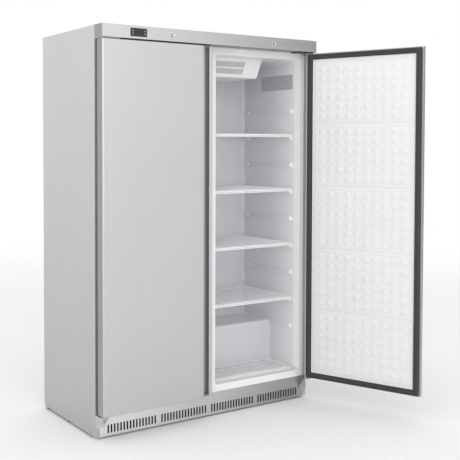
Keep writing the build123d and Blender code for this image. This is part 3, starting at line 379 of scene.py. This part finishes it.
def propeller(name, node, axis, radius, hub=0.015, length=0.018, bore=0.00254, blades=5):
    """Blades round a hub: the section is an ellipse turned by a pitch that falls outwards.

    At radius r the blade's pitch is 52 degrees at the hub and 24 at the tip. Its chord follows a sine of r.
    """
    half, sides = length / 2, 20
    low, high = (np.array(corner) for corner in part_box(node))
    centre, along = (low + high) / 2, np.eye(3)[axis]
    first, second = np.eye(3)[(axis + 1) % 3], np.eye(3)[(axis + 2) % 3]
    share = np.linspace(0, 1, 12)[:, None]
    reach = 0.85 * hub + share * (radius - 0.85 * hub)
    pitch = np.radians(52 - 28 * share)
    chord = (0.45 + 0.55 * np.sin(pi * (0.25 + 0.6 * share))) * radius * 0.5
    chord = np.minimum(chord, 0.92 * length / np.sin(pitch))
    around = np.linspace(0, 2 * pi, sides, endpoint=False)[None]
    run, thick = 0.5 * chord * np.cos(around), 0.0009 * np.sin(around) * np.ones_like(share)
    sweep = run * np.cos(pitch) - thick * np.sin(pitch)
    rise = run * np.sin(pitch) + thick * np.cos(pitch)
    skins = []
    for turn in np.arange(blades) * 2 * pi / blades:
        angle = turn + sweep / reach
        blade = centre + (reach * np.cos(angle))[..., None] * first
        blade = blade + (reach * np.sin(angle))[..., None] * second + rise[..., None] * along
        root, tip = blade[:1].mean(1, keepdims=True), blade[-1:].mean(1, keepdims=True)
        blade = np.concatenate([np.repeat(root, sides, 1), blade, np.repeat(tip, sides, 1)])
        skins.append((blade, False, True))
    outline = np.array([
        (bore, -half), (hub - 0.001, -half), (hub, -half + 0.001), (hub, half - 0.003), (hub - 0.003, half),
        (bore, half)])
    ring = np.linspace(0, 2 * pi, 36, endpoint=False)
    drum = centre + (outline[:, :1] * np.cos(ring))[..., None] * first
    drum = drum + (outline[:, :1] * np.sin(ring))[..., None] * second + outline[:, 1][:, None, None] * along
    skins.append((drum, True, True))
    return shell(name, skins, black_nylon, node, "black_moulding", node)


for side in ("left", "right"):
    propeller(f"{side}_cooler_fan", f"{side}_evaporator_fan", axis=1, radius=0.040)
propeller("condenser_fan_blades", "condenser_fan", axis=0, radius=0.078)


# The outer shell is satin stainless sheet, folded at the edges and foamed in one with the liners.
# The brushing runs down the sides and doors, and along the fascia, the top and the plinth.


def coordinate(place, axis):
    """One Object coordinate in metres: axis 0 is X, 1 is Y and 2 is Z."""
    return place.node("ShaderNodeSeparateXYZ", None, {"Vector": place}, axis)


def fade(value, none, full, curve="SMOOTHSTEP"):
    """Share that is 0 where a value reaches one bound and 1 where it reaches the other, in either order."""
    bounds = {"Value": value, "From Min": none, "From Max": full}
    return value.node("ShaderNodeMapRange", {"interpolation_type": curve}, bounds)


def satin(stretch, rough, tone=1.0):
    """Recipe for brushed stainless: long hairlines along the grain, soft clouding, faint handling marks.

    Painted shade makes it darker towards the floor and lighter towards the top. The tone scales its
    brightness.
    """
    dull, lit_grey = (tone * np.array(grey) for grey in ((0.46, 0.46, 0.462), (0.77, 0.77, 0.772)))

    def recipe(place):
        hair = speckle(place, 1.0, stretch, 4.0)
        broad = speckle(place, 1.0, tuple(0.18 * s for s in stretch), 2.0)
        cloud, marks = speckle(place, 2.2), speckle(place, 11.0, detail=6.0)
        streak = 0.7 * hair + 0.3 * broad
        # Painted shade: this share rises with height, so the steel is darker low down and lighter high up.
        height = coordinate(place, 2) * (1 / cabinet_height)
        return {
            "Base Color": tint(0.1 + 0.22 * streak + 0.14 * cloud + 0.44 * height, dull, lit_grey),
            "Roughness": rough + 0.02 + 0.08 * streak + 0.06 * cloud + 0.05 * marks,
            "Normal": relief(hair, 0.00003),
        }
    return recipe


def rolled(stretch, rough, edge_x, tone=1.0):
    """Recipe for a satin panel with painted shade on one end: the face within 6 mm of an X plane is darkened.
    """
    def recipe(place):
        finish = satin(stretch, rough, tone)(place)
        # Painted shade: the end's face is tinted dark grey, as the light falls off across it.
        end = fade(coordinate(place, 0), edge_x + 0.006, edge_x + 0.001)
        return {**finish, "Base Color": tint(end, finish["Base Color"], (0.34, 0.34, 0.345))}
    return recipe


def shaded_fascia(place):
    """The fascia's satin with painted shade: its folded underside, up to 1 mm over the lower edge, is
    darkened to a shadow.
    """
    finish = rolled(level_grain, 0.14, left_x, 1.06)(place)
    # Painted shadow: the underside's share, tinted nearly black.
    under = fade(coordinate(place, 2), fascia_foot + 0.0018, fascia_foot + 0.0011)
    return {**finish, "Base Color": tint(under, finish["Base Color"], (0.13, 0.13, 0.135))}


def plinth_shaded_right(place):
    """The plinth's satin with a painted reflection of shade: bright on the left, and darker to the right."""
    finish = satin(level_grain, 0.22, 1.45)(place)
    # Painted reflection of shade: the share grows towards the right-hand end.
    right_shade = fade(coordinate(place, 0), middle_x - 0.40, middle_x + 0.45, "LINEAR")
    return {**finish, "Base Color": tint(right_shade, finish["Base Color"], (0.38, 0.38, 0.385))}


fascia_low, fascia_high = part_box("fascia_panel")
left_x, middle_x, fascia_foot = fascia_low.x, (fascia_low.x + fascia_high.x) / 2, fascia_low.z
front_y, cabinet_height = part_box("left_side_panel")[0].y, 1.85
upright_grain, level_grain = (420, 420, 3), (3, 420, 420)
upright_satin = coat("satin_steel_upright", satin(upright_grain, 0.34, 0.91), Metallic=0.75)
level_satin = coat("satin_steel_plinth", plinth_shaded_right, Metallic=0.75)
top_satin = coat("satin_steel_top", satin(level_grain, 0.40, 0.72), Metallic=0.75)
fascia_satin_shaded = coat("satin_steel_fascia", shaded_fascia, Metallic=0.85)
door_satin_shaded = coat("satin_steel_door", rolled(upright_grain, 0.38, left_x), Metallic=0.70)
dress(upright_satin, "left_side_panel", "right_side_panel")
dress(level_satin, "base_grille")
dress(top_satin, "top_panel")
dress(fascia_satin_shaded, "fascia_panel")


# The front frame is the head rail over the compartments and the strip between them: folded sheet with
# a pale stoved enamel, riveted to the side panels.


def pale_enamel(place):
    """Stoved off-white enamel: a slight orange peel and a very faint cloud."""
    peel, cloud = speckle(place, 240.0, detail=1.0), speckle(place, 6.0)
    return {
        "Base Color": tint(cloud, (0.87, 0.87, 0.87), (0.92, 0.92, 0.92)),
        "Roughness": 0.30 + 0.10 * peel,
        "Normal": relief(peel, 0.00006),
    }


dress(coat("pale_enamel", pale_enamel), "front_frame")


# Black sheets of open foam lie behind the plinth's slots, held by the plinth's folded edges, and behind the
# slits in the air coolers' covers. They are painted shade: dark sheets that stand in for the shade behind the
# slots.


def shade_foam(place):
    """Black reticulated foam, standing in for shade: coarse pores, no sheen."""
    pores = place.node("ShaderNodeTexVoronoi", None, {"Vector": place, "Scale": 420.0})
    return {
        "Base Color": tint(pores, (0.004, 0.004, 0.004), (0.018, 0.018, 0.018)),
        "Roughness": 0.85 + 0.1 * pores,
        "Normal": relief(pores, 0.001),
    }


def leaning(x, front, back, thick):
    """Closed slab between two lines along X, each a depth and a height, set back square to its slope."""
    (y0, z0), (y1, z1) = front, back
    slope = np.array([y1 - y0, z1 - z0]) / np.hypot(y1 - y0, z1 - z0)
    square = thick * np.array([-slope[1], slope[0]])
    outline = np.array([front, back, back + square, front + square])
    middle = np.repeat(outline.mean(0)[None], 4, 0)
    return np.stack([
        np.column_stack([np.full(4, at), loop[:, 0], loop[:, 1]])
        for at, loop in ((x[0], middle), (x[0], outline), (x[1], outline), (x[1], middle))]), False, True


mat, mat_thick = coat("shade_foam_mat", shade_foam, Specular_IOR_Level=0.1), 0.004
plinth_low, plinth_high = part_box("base_grille")
screen_y, screen_inset = plinth_high.y + 0.0006, 0.012
screen = slab((plinth_low.x + screen_inset, screen_y, plinth_low.z + 0.008),
              (plinth_high.x - screen_inset, screen_y + mat_thick, plinth_high.z - 0.030))
shell("shade_screen", [screen], mat, "cabinet", "black_moulding")
cover_low, cover_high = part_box("evaporator_covers")
cover_width, cover_sheet, cover_run, cover_drop = 0.350, 0.002, 0.046, cover_high.z - cover_low.z
for side, x in (("left", cover_low.x), ("right", cover_high.x - cover_width)):
    head, foot = ((cover_low.y + cover_sheet + 0.0001 + share * cover_run, cover_high.z - share * cover_drop)
                  for share in (0.04, 0.95))
    sheet = leaning((x + cover_sheet, x + cover_width - cover_sheet), head, foot, mat_thick)
    shell(f"{side}_cooler_mat", [sheet], mat, "cabinet", "black_moulding")


# Polyurethane foam fills the walls and doors. It is poured in place as a liquid, swells to fill every
# corner, and bonds the outer sheet to the liners.


def poured_foam(place):
    """Closed cells under a skin: a yellowish cream with pores a millimetre across."""
    pores = place.node("ShaderNodeTexVoronoi", None, {"Vector": place, "Scale": 700.0})
    shade = speckle(place, 25.0)
    return {
        "Base Color": tint(shade, (0.62, 0.53, 0.32), (0.76, 0.68, 0.46)),
        "Roughness": 0.8 + 0.15 * shade,
        "Normal": relief(pores, 0.0004),
    }


dress(coat("wall_foam", poured_foam), "cabinet_foam", "left_door_foam", "right_door_foam")


# The liners are vacuum-formed from white sheet, each in one piece with its shelf supports and lip.
# The lip's edge is clipped behind the front frame.


def formed_white(low, high):
    """Recipe for formed white plastic: a silky skin with a shallow orange peel and a faint cloud of tone."""
    def recipe(place):
        peel, cloud = speckle(place, 320.0, detail=1.0), speckle(place, 4.0)
        return {
            "Base Color": tint(cloud, low, high),
            "Roughness": 0.30 + 0.08 * peel + 0.06 * cloud,
            "Normal": relief(peel, 0.00005),
        }
    return recipe


white_moulding = formed_white((0.81, 0.815, 0.82), (0.87, 0.872, 0.875))


def shaded_liner(place):
    """Formed white sheet, silky, with painted light and shade: a painted lit strip just inside the opening is
    whitest.

    Painted shade greys it towards the back and on the floor, and it is also greyer along the lip's front
    edge.
    """
    finish, depth = white_moulding(place), coordinate(place, 1)
    # Painted shade: the sheet greys with depth into the compartment.
    depth_shade = fade(depth, front_y + 0.02, front_y + 0.30)
    # Painted light: a whiter strip just inside the opening.
    strip = fade(depth, front_y + 0.050, front_y + 0.044)
    white = tint(strip, tint(depth_shade, (0.87, 0.868, 0.872), (0.68, 0.665, 0.695)), (0.95, 0.95, 0.952))
    # Painted shade: the floor, below about 0.16 m, is greyer.
    floor_shade = fade(coordinate(place, 2), 0.168, 0.152)
    inner = fade(depth, front_y + 0.002, front_y + 0.006, "LINEAR")
    lipped = tint(1 - inner, white, (0.85, 0.85, 0.852))
    finish["Base Color"] = tint(floor_shade * inner, lipped, (0.68, 0.68, 0.685))
    return finish


white_plastic = coat("white_moulding", white_moulding)
dress(white_plastic, "evaporator_covers", "door_sensors")
dress(coat("white_liner", shaded_liner), "left_liner", "right_liner")


# A plain grey plate of thin foil is stuck to the right-hand wall, near the front, over the top shelf.
# It is blank, and its corners are slightly rounded.


def rounded(low, high, radius, steps=6):
    """Loop round a rectangle with round corners: four quarter circles about the corners' centres."""
    low, high = np.asarray(low, float), np.asarray(high, float)
    turn = np.linspace(0, pi / 2, steps)
    corners = [(high[0] - radius, high[1] - radius), (low[0] + radius, high[1] - radius),
               (low[0] + radius, low[1] + radius), (high[0] - radius, low[1] + radius)]
    arcs = [np.column_stack([x + radius * np.cos(turn + k * pi / 2), y + radius * np.sin(turn + k * pi / 2)])
            for k, (x, y) in enumerate(corners)]
    return np.concatenate(arcs)


def plain_foil(place):
    """Matt grey foil with a fine grain."""
    grain = speckle(place, 400.0)
    return {"Base Color": tint(grain, (0.42, 0.42, 0.45), (0.50, 0.50, 0.53)), "Roughness": 0.5 + 0.1 * grain}


wall_x, foil = middle_x + 0.575, 0.0004
plate_y, plate_z, plate_corner = (front_y + 0.062, front_y + 0.318), (1.611, 1.688), 0.004
edge = rounded((plate_y[0], plate_z[0]), (plate_y[1], plate_z[1]), plate_corner)
levels = [(0, 0), (1, 0), (1, foil), (0, foil)]
centre = edge.mean(0)
plate = np.stack([
    np.column_stack([np.full(len(edge), wall_x - depth), centre + share * (edge - centre)])
    for share, depth in levels])
shell("wall_plate", [(plate, False, True)], coat("grey_foil", plain_foil), "cabinet", "grey_key")


# Wire shelves are drawn steel rod, welded and dipped in white plastic. A rim carries fore-and-aft wires,
# and two cross rods rest on the liner's supports. The wires turn down to a second rod at the front.


def dipped_white(place):
    """White dip coating: glossy, slightly uneven in thickness."""
    run = speckle(place, 40.0)
    return {
        "Base Color": tint(run, (0.90, 0.905, 0.91), (0.94, 0.94, 0.945)),
        "Roughness": 0.24 + 0.12 * run,
        "Normal": relief(run, 0.0002),
    }


white_wire = coat("white_dipped_wire", dipped_white)


def wire_shelf(low, high, rails, inset):
    """Skins of one shelf in a box: a rim loop, cross rods, a front rod, and wires bent down at the front."""
    rim, wire, front_rod, drop, pitch, fold, sides = 0.0027, 0.0020, 0.0022, 0.0075, 0.025, 0.004, 10
    front = low[1] + 0.0012
    x0, x1, y0, y1 = low[0] + rim, high[0] - rim, front + rim, high[1] - rim
    rim_z, wire_z = high[2] - 2 * wire - rim, high[2] - wire
    loop = rounded((x0, y0), (x1, y1), 0.014, 8)
    ring = np.column_stack([loop, np.full(len(loop), rim_z)])
    angle = np.linspace(0, 2 * pi, sides, endpoint=False)[None, :, None]
    along = np.roll(ring, -1, 0) - np.roll(ring, 1, 0)
    side = np.cross(along / np.linalg.norm(along, axis=1, keepdims=True), (0, 0, 1))[:, None]
    upward = np.array([0, 0, 1.0])
    skins = [(ring[:, None] + rim * (np.cos(angle) * side + np.sin(angle) * upward), True, True)]
    for y in rails:
        skins.append(tube([(x0 + inset, y, low[2] + rim), (x1 - inset, y, low[2] + rim)], rim, upward))
    rod_y, rod_z = front + 0.0026, rim_z - drop
    skins.append(tube([(x0 + 0.012, rod_y, rod_z), (x1 - 0.012, rod_y, rod_z)], front_rod, upward))
    count = int(round((x1 - x0) / pitch))
    turn = np.linspace(0, pi / 2, 5)
    bend = np.column_stack([front + fold - fold * np.sin(turn), wire_z - fold + fold * np.cos(turn)])
    line = np.vstack([[(y1 + rim * 0.6, wire_z)], bend, [(front, rod_z)]])
    for x in np.linspace(x0, x1, count + 1)[1:-1]:
        skins.append(tube(np.column_stack([np.full(len(line), x), line]), wire, (1, 0, 0), 8))
    return skins


shelf_count = 5
mirror = np.array([-1.0, 1.0, 1.0])
for level in range(1, shelf_count + 1):
    node = f"right_shelf_{level}"
    low, high = (np.array(corner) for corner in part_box(node))
    rear_inset, rail_inset = (0.036, 0.014) if level == shelf_count else (0.019, 0.0)
    skins = wire_shelf(low, high, (low[1] + 0.035, high[1] - rear_inset), rail_inset)
    shell(f"right_wire_shelf_{level}", skins, white_wire, node, "white_wire", node)
    other = [(grid * mirror + (2 * middle_x, 0, 0), rows, columns) for grid, rows, columns in skins]
    shell(f"left_wire_shelf_{level}", other, white_wire, "cabinet", "white_wire", "left_shelves")


# The controller is a black moulded case clipped into the fascia. Behind its window are unlit segment
# figures, and two small grey keys stand at each end.


def glossy_black(place):
    """Polished black window: nearly flat, with faint dust."""
    dust = speckle(place, 300.0, detail=5.0)
    return {
        "Base Color": tint(dust, (0.006, 0.006, 0.008), (0.016, 0.016, 0.019)),
        "Roughness": 0.06 + 0.06 * dust,
    }


def dark_segment(place):
    """Unlit display bar: a brownish red that hardly shows."""
    grain = speckle(place, 500.0)
    return {
        "Base Color": tint(grain, (0.055, 0.022, 0.020), (0.075, 0.030, 0.026)),
        "Roughness": 0.3 + 0.1 * grain,
    }


dress(black_nylon, "controller_housing")
dress(coat("display_window", glossy_black, Coat_Weight=0.3), "controller_window")
dress(coat("grey_key", moulded_nylon((0.20, 0.205, 0.215), (0.27, 0.275, 0.285))),
      *(f"controller_button_{key}" for key in range(1, 5)))
window_low, window_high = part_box("controller_window")
digit_width, digit_height, digit_pitch, bar, bar_gap = 0.0085, 0.0150, 0.0135, 0.0013, 0.0009
bars = np.array([
    (0, 1, 1, 1), (0, 0.5, 1, 0.5), (0, 0, 1, 0), (0, 0.5, 0, 1), (1, 0.5, 1, 1), (0, 0, 0, 0.5),
    (1, 0, 1, 0.5)])
segments = []
for place in (-1, 0, 1):
    corner = np.array([(window_low.x + window_high.x) / 2 + place * digit_pitch - digit_width / 2,
                       (window_low.z + window_high.z) / 2 - digit_height / 2])
    for x0, z0, x1, z1 in bars:
        start = corner + (x0 * digit_width, z0 * digit_height)
        end = corner + (x1 * digit_width, z1 * digit_height)
        gap = (end - start) / np.linalg.norm(end - start) * bar_gap
        start, end = start + gap, end - gap
        grow = np.where(np.abs(end - start) < 1e-9, bar / 2, 0)
        segments.append(slab((start[0] - grow[0], window_low.y - 0.00008, start[1] - grow[1]),
                             (end[0] + grow[0], window_low.y + 0.0005, end[1] + grow[1])))
shell("display_segments", segments, coat("unlit_segment", dark_segment), "cabinet", "dark_window")


# Each lock has a plated die-cast barrel with a dished face, held by a nut behind the fascia. The plug that
# turns in it is plated steel.


def bright_plate(place):
    """Nickel-plated steel: bright, with soft wear and fine scratches."""
    wear, scratch = speckle(place, 120.0, detail=4.0), speckle(place, 1.0, (900, 60, 900))
    return {
        "Base Color": tint(wear, (0.67, 0.665, 0.655), (0.58, 0.575, 0.565)),
        "Roughness": 0.18 + 0.10 * wear + 0.08 * scratch,
    }


def cast_plate(place):
    """The same plating on a polished casting: brighter, with shallow pits."""
    wear, pits = speckle(place, 160.0, detail=4.0), speckle(place, 900.0)
    return {
        "Base Color": tint(wear, (0.70, 0.70, 0.695), (0.80, 0.80, 0.795)),
        "Roughness": 0.08 + 0.08 * wear,
        "Normal": relief(pits, 0.00001),
    }


plated = coat("bright_plated_steel", bright_plate, Metallic=1.0)
dress(plated, "left_lock_plug", "right_lock_plug")
barrel_low, barrel_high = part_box("lock_barrels")
barrel_z, barrel_length = (barrel_low.z + barrel_high.z) / 2, barrel_high.y - barrel_low.y
dish = np.array([
    (7.15, 25.0), (9.4, 25.0), (9.5, 2.0), (11.7, 2.0), (12.0, 1.6), (12.0, 1.0), (11.6, 0.35), (10.9, 0.0),
    (10.2, 0.05), (9.4, 0.55), (8.3, 1.35), (7.5, 1.7), (7.15, 2.0)]) * 0.001
dish[:2, 1] = barrel_length
flange = dish[:, 0].max()
around = np.linspace(0, 2 * pi, 48, endpoint=False)
barrels = []
for x in (barrel_low.x + flange, barrel_high.x - flange):
    barrels.append((np.stack([
        x + dish[:, :1] * np.cos(around), barrel_low.y + dish[:, 1:] * np.ones_like(around),
        barrel_z + dish[:, :1] * np.sin(around)], -1), True, True))
casting = coat("plated_casting", cast_plate, Metallic=1.0)
shell("lock_dishes", barrels, casting, "cabinet", "plated_steel", "lock_barrels")


# The hinges are pressed brackets with riveted pins, screwed to the front frame at top and bottom.
# All four are brightly plated; painted shade greys the lower right one and makes the upper right one nearly
# black.


def hinge_plate_shaded(place):
    """Bright plating with painted shade: grey at the right-hand foot and nearly black at the right-hand head.
    """
    finish, half_way = bright_plate(place), 1.0
    # Painted shade: the right-hand pair is darkened, the upper one nearly to black.
    right = place.sum("GREATER_THAN", coordinate(place, 0), middle_x)
    head = right * place.sum("GREATER_THAN", coordinate(place, 2), half_way)
    dull = tint(right, finish["Base Color"], (0.42, 0.42, 0.422))
    return {**finish, "Base Color": tint(head, dull, (0.030, 0.030, 0.034)), "Metallic": 1.0 - 0.6 * head}


dress(coat("hinge_plating_shaded", hinge_plate_shaded), "hinge_brackets", "hinge_pins")


# Pan-head screws of plated steel, with a cross recess, hold the hinge brackets to the front frame and
# the rear cover to the base.


def pan_head(centre, outward, shank):
    """Screw on a face: a profile of radius r and height turned about the way out, over a plain shank.

    In the recess r is multiplied by 1 + c cos 4a, which draws its rim out into a cross.
    """
    centre, outward = np.asarray(centre, float), np.asarray(outward, float)
    first = np.cross(outward, (0, 0, 1.0))
    second = np.cross(outward, first)
    profile = 0.001 * np.array([
        (0, -shank), (2.4, -shank), (2.4, 0), (4.5, 0), (4.5, 0.7), (4.1, 1.7), (3.2, 2.3), (2.3, 2.5),
        (1.7, 2.4), (0.9, 1.1), (0, 0.9)])
    angle = np.linspace(0, 2 * pi, 32, endpoint=False)
    cross = np.array([0, 0, 0, 0, 0, 0, 0, 0.08, 0.35, 0.45, 0])[:, None]
    radius = profile[:, :1] * (1 + cross * np.cos(4 * angle))
    grid = centre + (radius * np.cos(angle))[..., None] * first + (radius * np.sin(angle))[..., None] * second
    return grid + profile[:, 1][:, None, None] * outward, False, True


head_radius, bracket_sheet, bracket_end = 0.0045, 0.003, 0.619
bracket_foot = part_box("hinge_brackets")[0].z
screw_low, screw_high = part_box("cabinet_screws")
rear_low, rear_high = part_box("service_grille")
rear_foot = screw_low.z + head_radius
screws = []
for side in (-1, 1):
    for step in (0.0115, 0.0345):
        for z in (bracket_foot + 0.0203, screw_high.z - head_radius):
            seat = (middle_x + side * (bracket_end - step), front_y - bracket_sheet, z)
            screws.append(pan_head(seat, (0, -1, 0), 3.0))
    for z in (rear_foot, rear_high.z + rear_low.z - rear_foot):
        x = middle_x + side * ((rear_high.x - rear_low.x) / 2 - 0.0083)
        screws.append(pan_head((x, rear_high.y, z), (0, 1, 0), 0.1))
shell("screw_heads", screws, plated, "cabinet", "plated_steel", "cabinet_screws", crease=30)


# Each door is a satin steel pan round a foam core. A dark grey moulded channel in its free edge is the grip,
# and nylon blocks in its hinge edge carry the pins.


def grip_plastic(place):
    """Dark grey moulded plastic with a fine spark-eroded grain."""
    grain, cloud = speckle(place, 700.0), speckle(place, 6.0)
    return {
        "Base Color": tint(0.3 * grain + 0.7 * cloud, (0.105, 0.108, 0.112), (0.15, 0.153, 0.158)),
        "Roughness": 0.40 + 0.14 * grain,
        "Normal": relief(grain, 0.00004),
    }


dress(door_satin_shaded, "left_door_skin", "right_door_skin")
dress(coat("grip_plastic", grip_plastic), "left_door_handle", "right_door_handle")
dress(pale_nylon, "left_door_bushes", "right_door_bushes")


# The door's inner panel is one vacuum-formed white sheet. It stands proud inside the gasket and has
# five embossed fields of shallow round studs, with narrow grooves between them.
swing = next(joint for joint in frame["joints"] if joint["name"] == "right_door_hinge")
open_angle = radians(-swing["range_deg"][0])


def hung(points, side):
    """Points of the shut left door, or their mirror image turned open about the right-hand hinge."""
    if side == "left":
        return points
    pivot = np.array(swing["pos_m"])
    local = points * (-1, 1, 1) + (2 * middle_x, 0, 0) - pivot
    across, ahead = local[..., 0], local[..., 1]
    turned_points = np.stack([
        across * np.cos(open_angle) - ahead * np.sin(open_angle),
        across * np.sin(open_angle) + ahead * np.cos(open_angle), local[..., 2]], -1)
    return turned_points + pivot


def ease(share):
    """Smooth step from 0 to 1."""
    share = np.clip(share, 0, 1)
    return share * share * (3 - 2 * share)


panel_low, panel_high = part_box("left_door_panel")
seal_low, seal_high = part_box("left_door_gasket")
seal_width, seal_gap = 0.024, 0.0003
inset = seal_width + seal_gap
plug_x = (seal_low.x + inset, seal_high.x - inset)
plug_z = (seal_low.z + inset, seal_high.z - inset)
panel_y, rim, plug, border, groove, panel_sheet = panel_low.y, 0.002, 0.014, 0.016, 0.008, 0.0022
field_count, field_rise = 5, 0.0016
stud_rows, stud_columns, stud_rise, stud_spread = 6, 10, 0.0040, 0.0190
margin_x, margin_z = 0.014, 0.010
field_pitch = (plug_z[1] - plug_z[0] - 2 * border) / field_count
field_x = (plug_x[0] + border, plug_x[1] - border)
edges = np.array([0, 0.0005, 0.001, 0.002, 0.003, 0.004, 0.006, 0.008, 0.010])
x_lines = [panel_low.x, *(plug_x[0] + edges), *(plug_x[1] - edges), panel_high.x]
x_lines += [*(field_x[0] + edges[:6]), *(field_x[1] - edges[:6]), *np.linspace(*field_x, 72)]
z_lines = [panel_low.z, *(plug_z[0] + edges), *(plug_z[1] - edges), panel_high.z]
field_foot = plug_z[0] + border + field_pitch * np.arange(field_count)
field_z = [(low + groove / 2, low + field_pitch - groove / 2) for low in field_foot]
for low, high in field_z:
    z_lines += [*(low + edges[:6]), *(high - edges[:6]), *np.linspace(low, high, 44)]
x_lines, z_lines = np.unique(np.round(x_lines, 5)), np.unique(np.round(z_lines, 5))
across, upward = np.meshgrid(x_lines, z_lines)


def inside(x, z):
    """Distance in from the nearest side of a rectangle, less than zero outside it."""
    return np.minimum(np.minimum(across - x[0], x[1] - across), np.minimum(upward - z[0], z[1] - upward))


height = rim + plug * ease(inside(plug_x, plug_z) / 0.0025)
for low, high in field_z:
    height += field_rise * ease(inside(field_x, (low, high)) / 0.003)
    column = (field_x[1] - field_x[0] - 2 * margin_x) / stud_columns
    row = (high - low - 2 * margin_z) / stud_rows
    dx = (across - field_x[0] - margin_x) / column
    dz = (upward - low - margin_z) / row
    within = (dx > 0) & (dx < stud_columns) & (dz > 0) & (dz < stud_rows)
    reach = np.hypot((dx % 1 - 0.5) * column, (dz % 1 - 0.5) * row) / stud_spread
    height += np.where(within, stud_rise * (0.5 + 0.5 * np.cos(pi * np.clip(reach, 0, 1))), 0)
face = np.stack([across, panel_y + height, upward], -1)
back = np.stack([across, np.maximum(panel_y + height - panel_sheet, panel_y), upward], -1)
panel_white = coat("door_panel_white", formed_white((0.735, 0.74, 0.745), (0.795, 0.797, 0.80)))
for side in ("left", "right"):
    outer, inner = hung(face, side), hung(back, side)
    rim_loop = [np.concatenate([g[0, :-1], g[:-1, -1], g[-1, :0:-1], g[:0:-1, 0]]) for g in (outer, inner)]
    skins = [(outer, False, False), (inner, False, False), (np.stack(rim_loop), False, True)]
    body, node = f"{side}_door", f"{side}_door_panel"
    shell(f"{side}_inner_panel", skins, panel_white, body, "white_moulding", node, crease=60)


# The gasket is extruded dark grey vinyl with a magnet in its face, cut to length and welded at the corners.
# It pushes into a channel round the inner panel.


def seal_vinyl(place):
    """Dark grey vinyl: soft sheen, streaked along its length where the die marked it."""
    streak, bloom = speckle(place, 1.0, (260, 260, 260), 2.0), speckle(place, 9.0, detail=5.0)
    return {
        "Base Color": tint(0.4 * streak + 0.6 * bloom, (0.036, 0.037, 0.039), (0.058, 0.059, 0.062)),
        "Roughness": 0.50 + 0.16 * bloom,
        "Normal": relief(streak, 0.00005),
    }


vinyl = coat("seal_vinyl", seal_vinyl, Specular_IOR_Level=0.3)
half_section = np.array([
    (1.0, 0), (0.4, 3), (2.4, 6), (2.0, 9), (0.4, 11.5), (0, 14), (0, 19.6), (0.5, 22), (1.8, 23.9),
    (3.7, 25.1), (6, 25.6), (9.6, 25.6), (10.7, 24.0)])
other_half = half_section[::-1] * (-1, 1) + (1000 * seal_width, 0)
section = 0.001 * np.vstack([half_section, other_half])
corner_x = np.array([seal_low.x, seal_high.x, seal_high.x, seal_low.x])
corner_z = np.array([seal_low.z, seal_low.z, seal_high.z, seal_high.z])
inward_x, inward_z = np.array([1, -1, -1, 1]), np.array([1, 1, -1, -1])
for side in ("left", "right"):
    frame_x = corner_x[None] + section[:, :1] * inward_x
    frame_z = corner_z[None] + section[:, :1] * inward_z
    depth = np.repeat(seal_low.y + section[:, 1:], 4, 1)
    ring = hung(np.stack([frame_x, depth, frame_z], -1), side)
    body, node = f"{side}_door", f"{side}_door_gasket"
    shell(f"{side}_gasket", [(ring, True, True)], vinyl, body, "grey_seal", node, crease=50)


# The floor is plain and pale, and fades into a white backdrop. The studio that the steel mirrors is dimmer
# to the right. Three soft boxes light the freezer, and the camera has the photograph's viewpoint.
floor_half, floor_near, floor_gone = 9.0, 2.0, 7.5
ground = [(x * floor_half, y * floor_half, 0) for x, y in ((-1, -1), (1, -1), (1, 1), (-1, 1))]
floor_mesh = bpy.data.meshes.new("studio_floor")
floor_mesh.from_pydata(ground, [], [(0, 1, 2, 3)])


def pale_floor(place):
    """Matt white paint with a very faint cloud, which fades out far from the object."""
    cloud = speckle(place, 0.8)
    far = place.node("ShaderNodeVectorMath", {"operation": "LENGTH"}, {0: place}, out=1)
    return {
        "Base Color": tint(cloud, (0.86, 0.86, 0.86), (0.89, 0.89, 0.89)),
        "Roughness": 0.8 + 0.1 * cloud,
        "Alpha": fade(far, floor_gone, floor_near),
    }


floor_mesh.materials.append(coat("pale_floor", pale_floor))
floor = bpy.data.objects.new("studio_floor", floor_mesh)
bpy.context.scene.collection.objects.link(floor)

world = bpy.data.worlds.new("studio")
world.use_nodes = True
tree = world.node_tree
sky = Shade(tree, tree.nodes.new("ShaderNodeTexCoord").outputs["Generated"])
to_right = sky.node(
    "ShaderNodeVectorMath", {"operation": "DOT_PRODUCT"}, {0: sky, 1: (0.95, -0.31, 0.0)}, out=1)
dimming = [(0.0, (1, 1, 1)), (0.77, (1, 1, 1)), (0.88, (0.06, 0.06, 0.06))]
walls = sky.node("ShaderNodeValToRGB", {"stops": dimming}, {"Fac": to_right})
seen = sky.node("ShaderNodeLightPath")
backdrop = tint(seen, walls, (1, 1, 1))
tree.links.new(backdrop.socket, tree.nodes["Background"].inputs["Color"])
tree.nodes["Background"].inputs["Strength"].default_value = 1.0
bpy.context.scene.world = world


def soft_box(name, place, aim, size, power):
    """Square area light at a place, facing a point."""
    light = bpy.data.lights.new(name, "AREA")
    light.energy, light.size = power, size
    lamp = bpy.data.objects.new(name, light)
    lamp.location = place
    lamp.rotation_euler = (Vector(aim) - Vector(place)).to_track_quat("-Z", "Y").to_euler()
    bpy.context.scene.collection.objects.link(lamp)


soft_box("key_light", (-3.4, -3.8, 3.8), (0, 0, 1.0), 4.0, 45)
soft_box("top_light", (0, 0.2, 4.6), (0, 0, 0.9), 3.0, 20)
soft_box("front_light", (-1.2, -4.6, 1.9), (0.0, 0, 1.1), 3.4, 34)

lens = bpy.data.cameras.new("photo_camera")
focal_pixels, image_pixels, eye_height, tilt_down, heading = 842.6, 460, 1.323, 2.06, -32.01
lens.sensor_width, lens.sensor_fit = 36.0, "HORIZONTAL"
lens.lens = focal_pixels / image_pixels * lens.sensor_width
lens.shift_x, lens.shift_y = 0.152, -0.12
camera = bpy.data.objects.new("photo_camera", lens)
camera.location = (middle_x - 2.349, front_y - 3.312, eye_height)
camera.rotation_euler = (radians(90 - tilt_down), 0, radians(heading))
bpy.context.scene.collection.objects.link(camera)
bpy.context.scene.camera = camera
bpy.context.scene.view_settings.view_transform = "Standard"
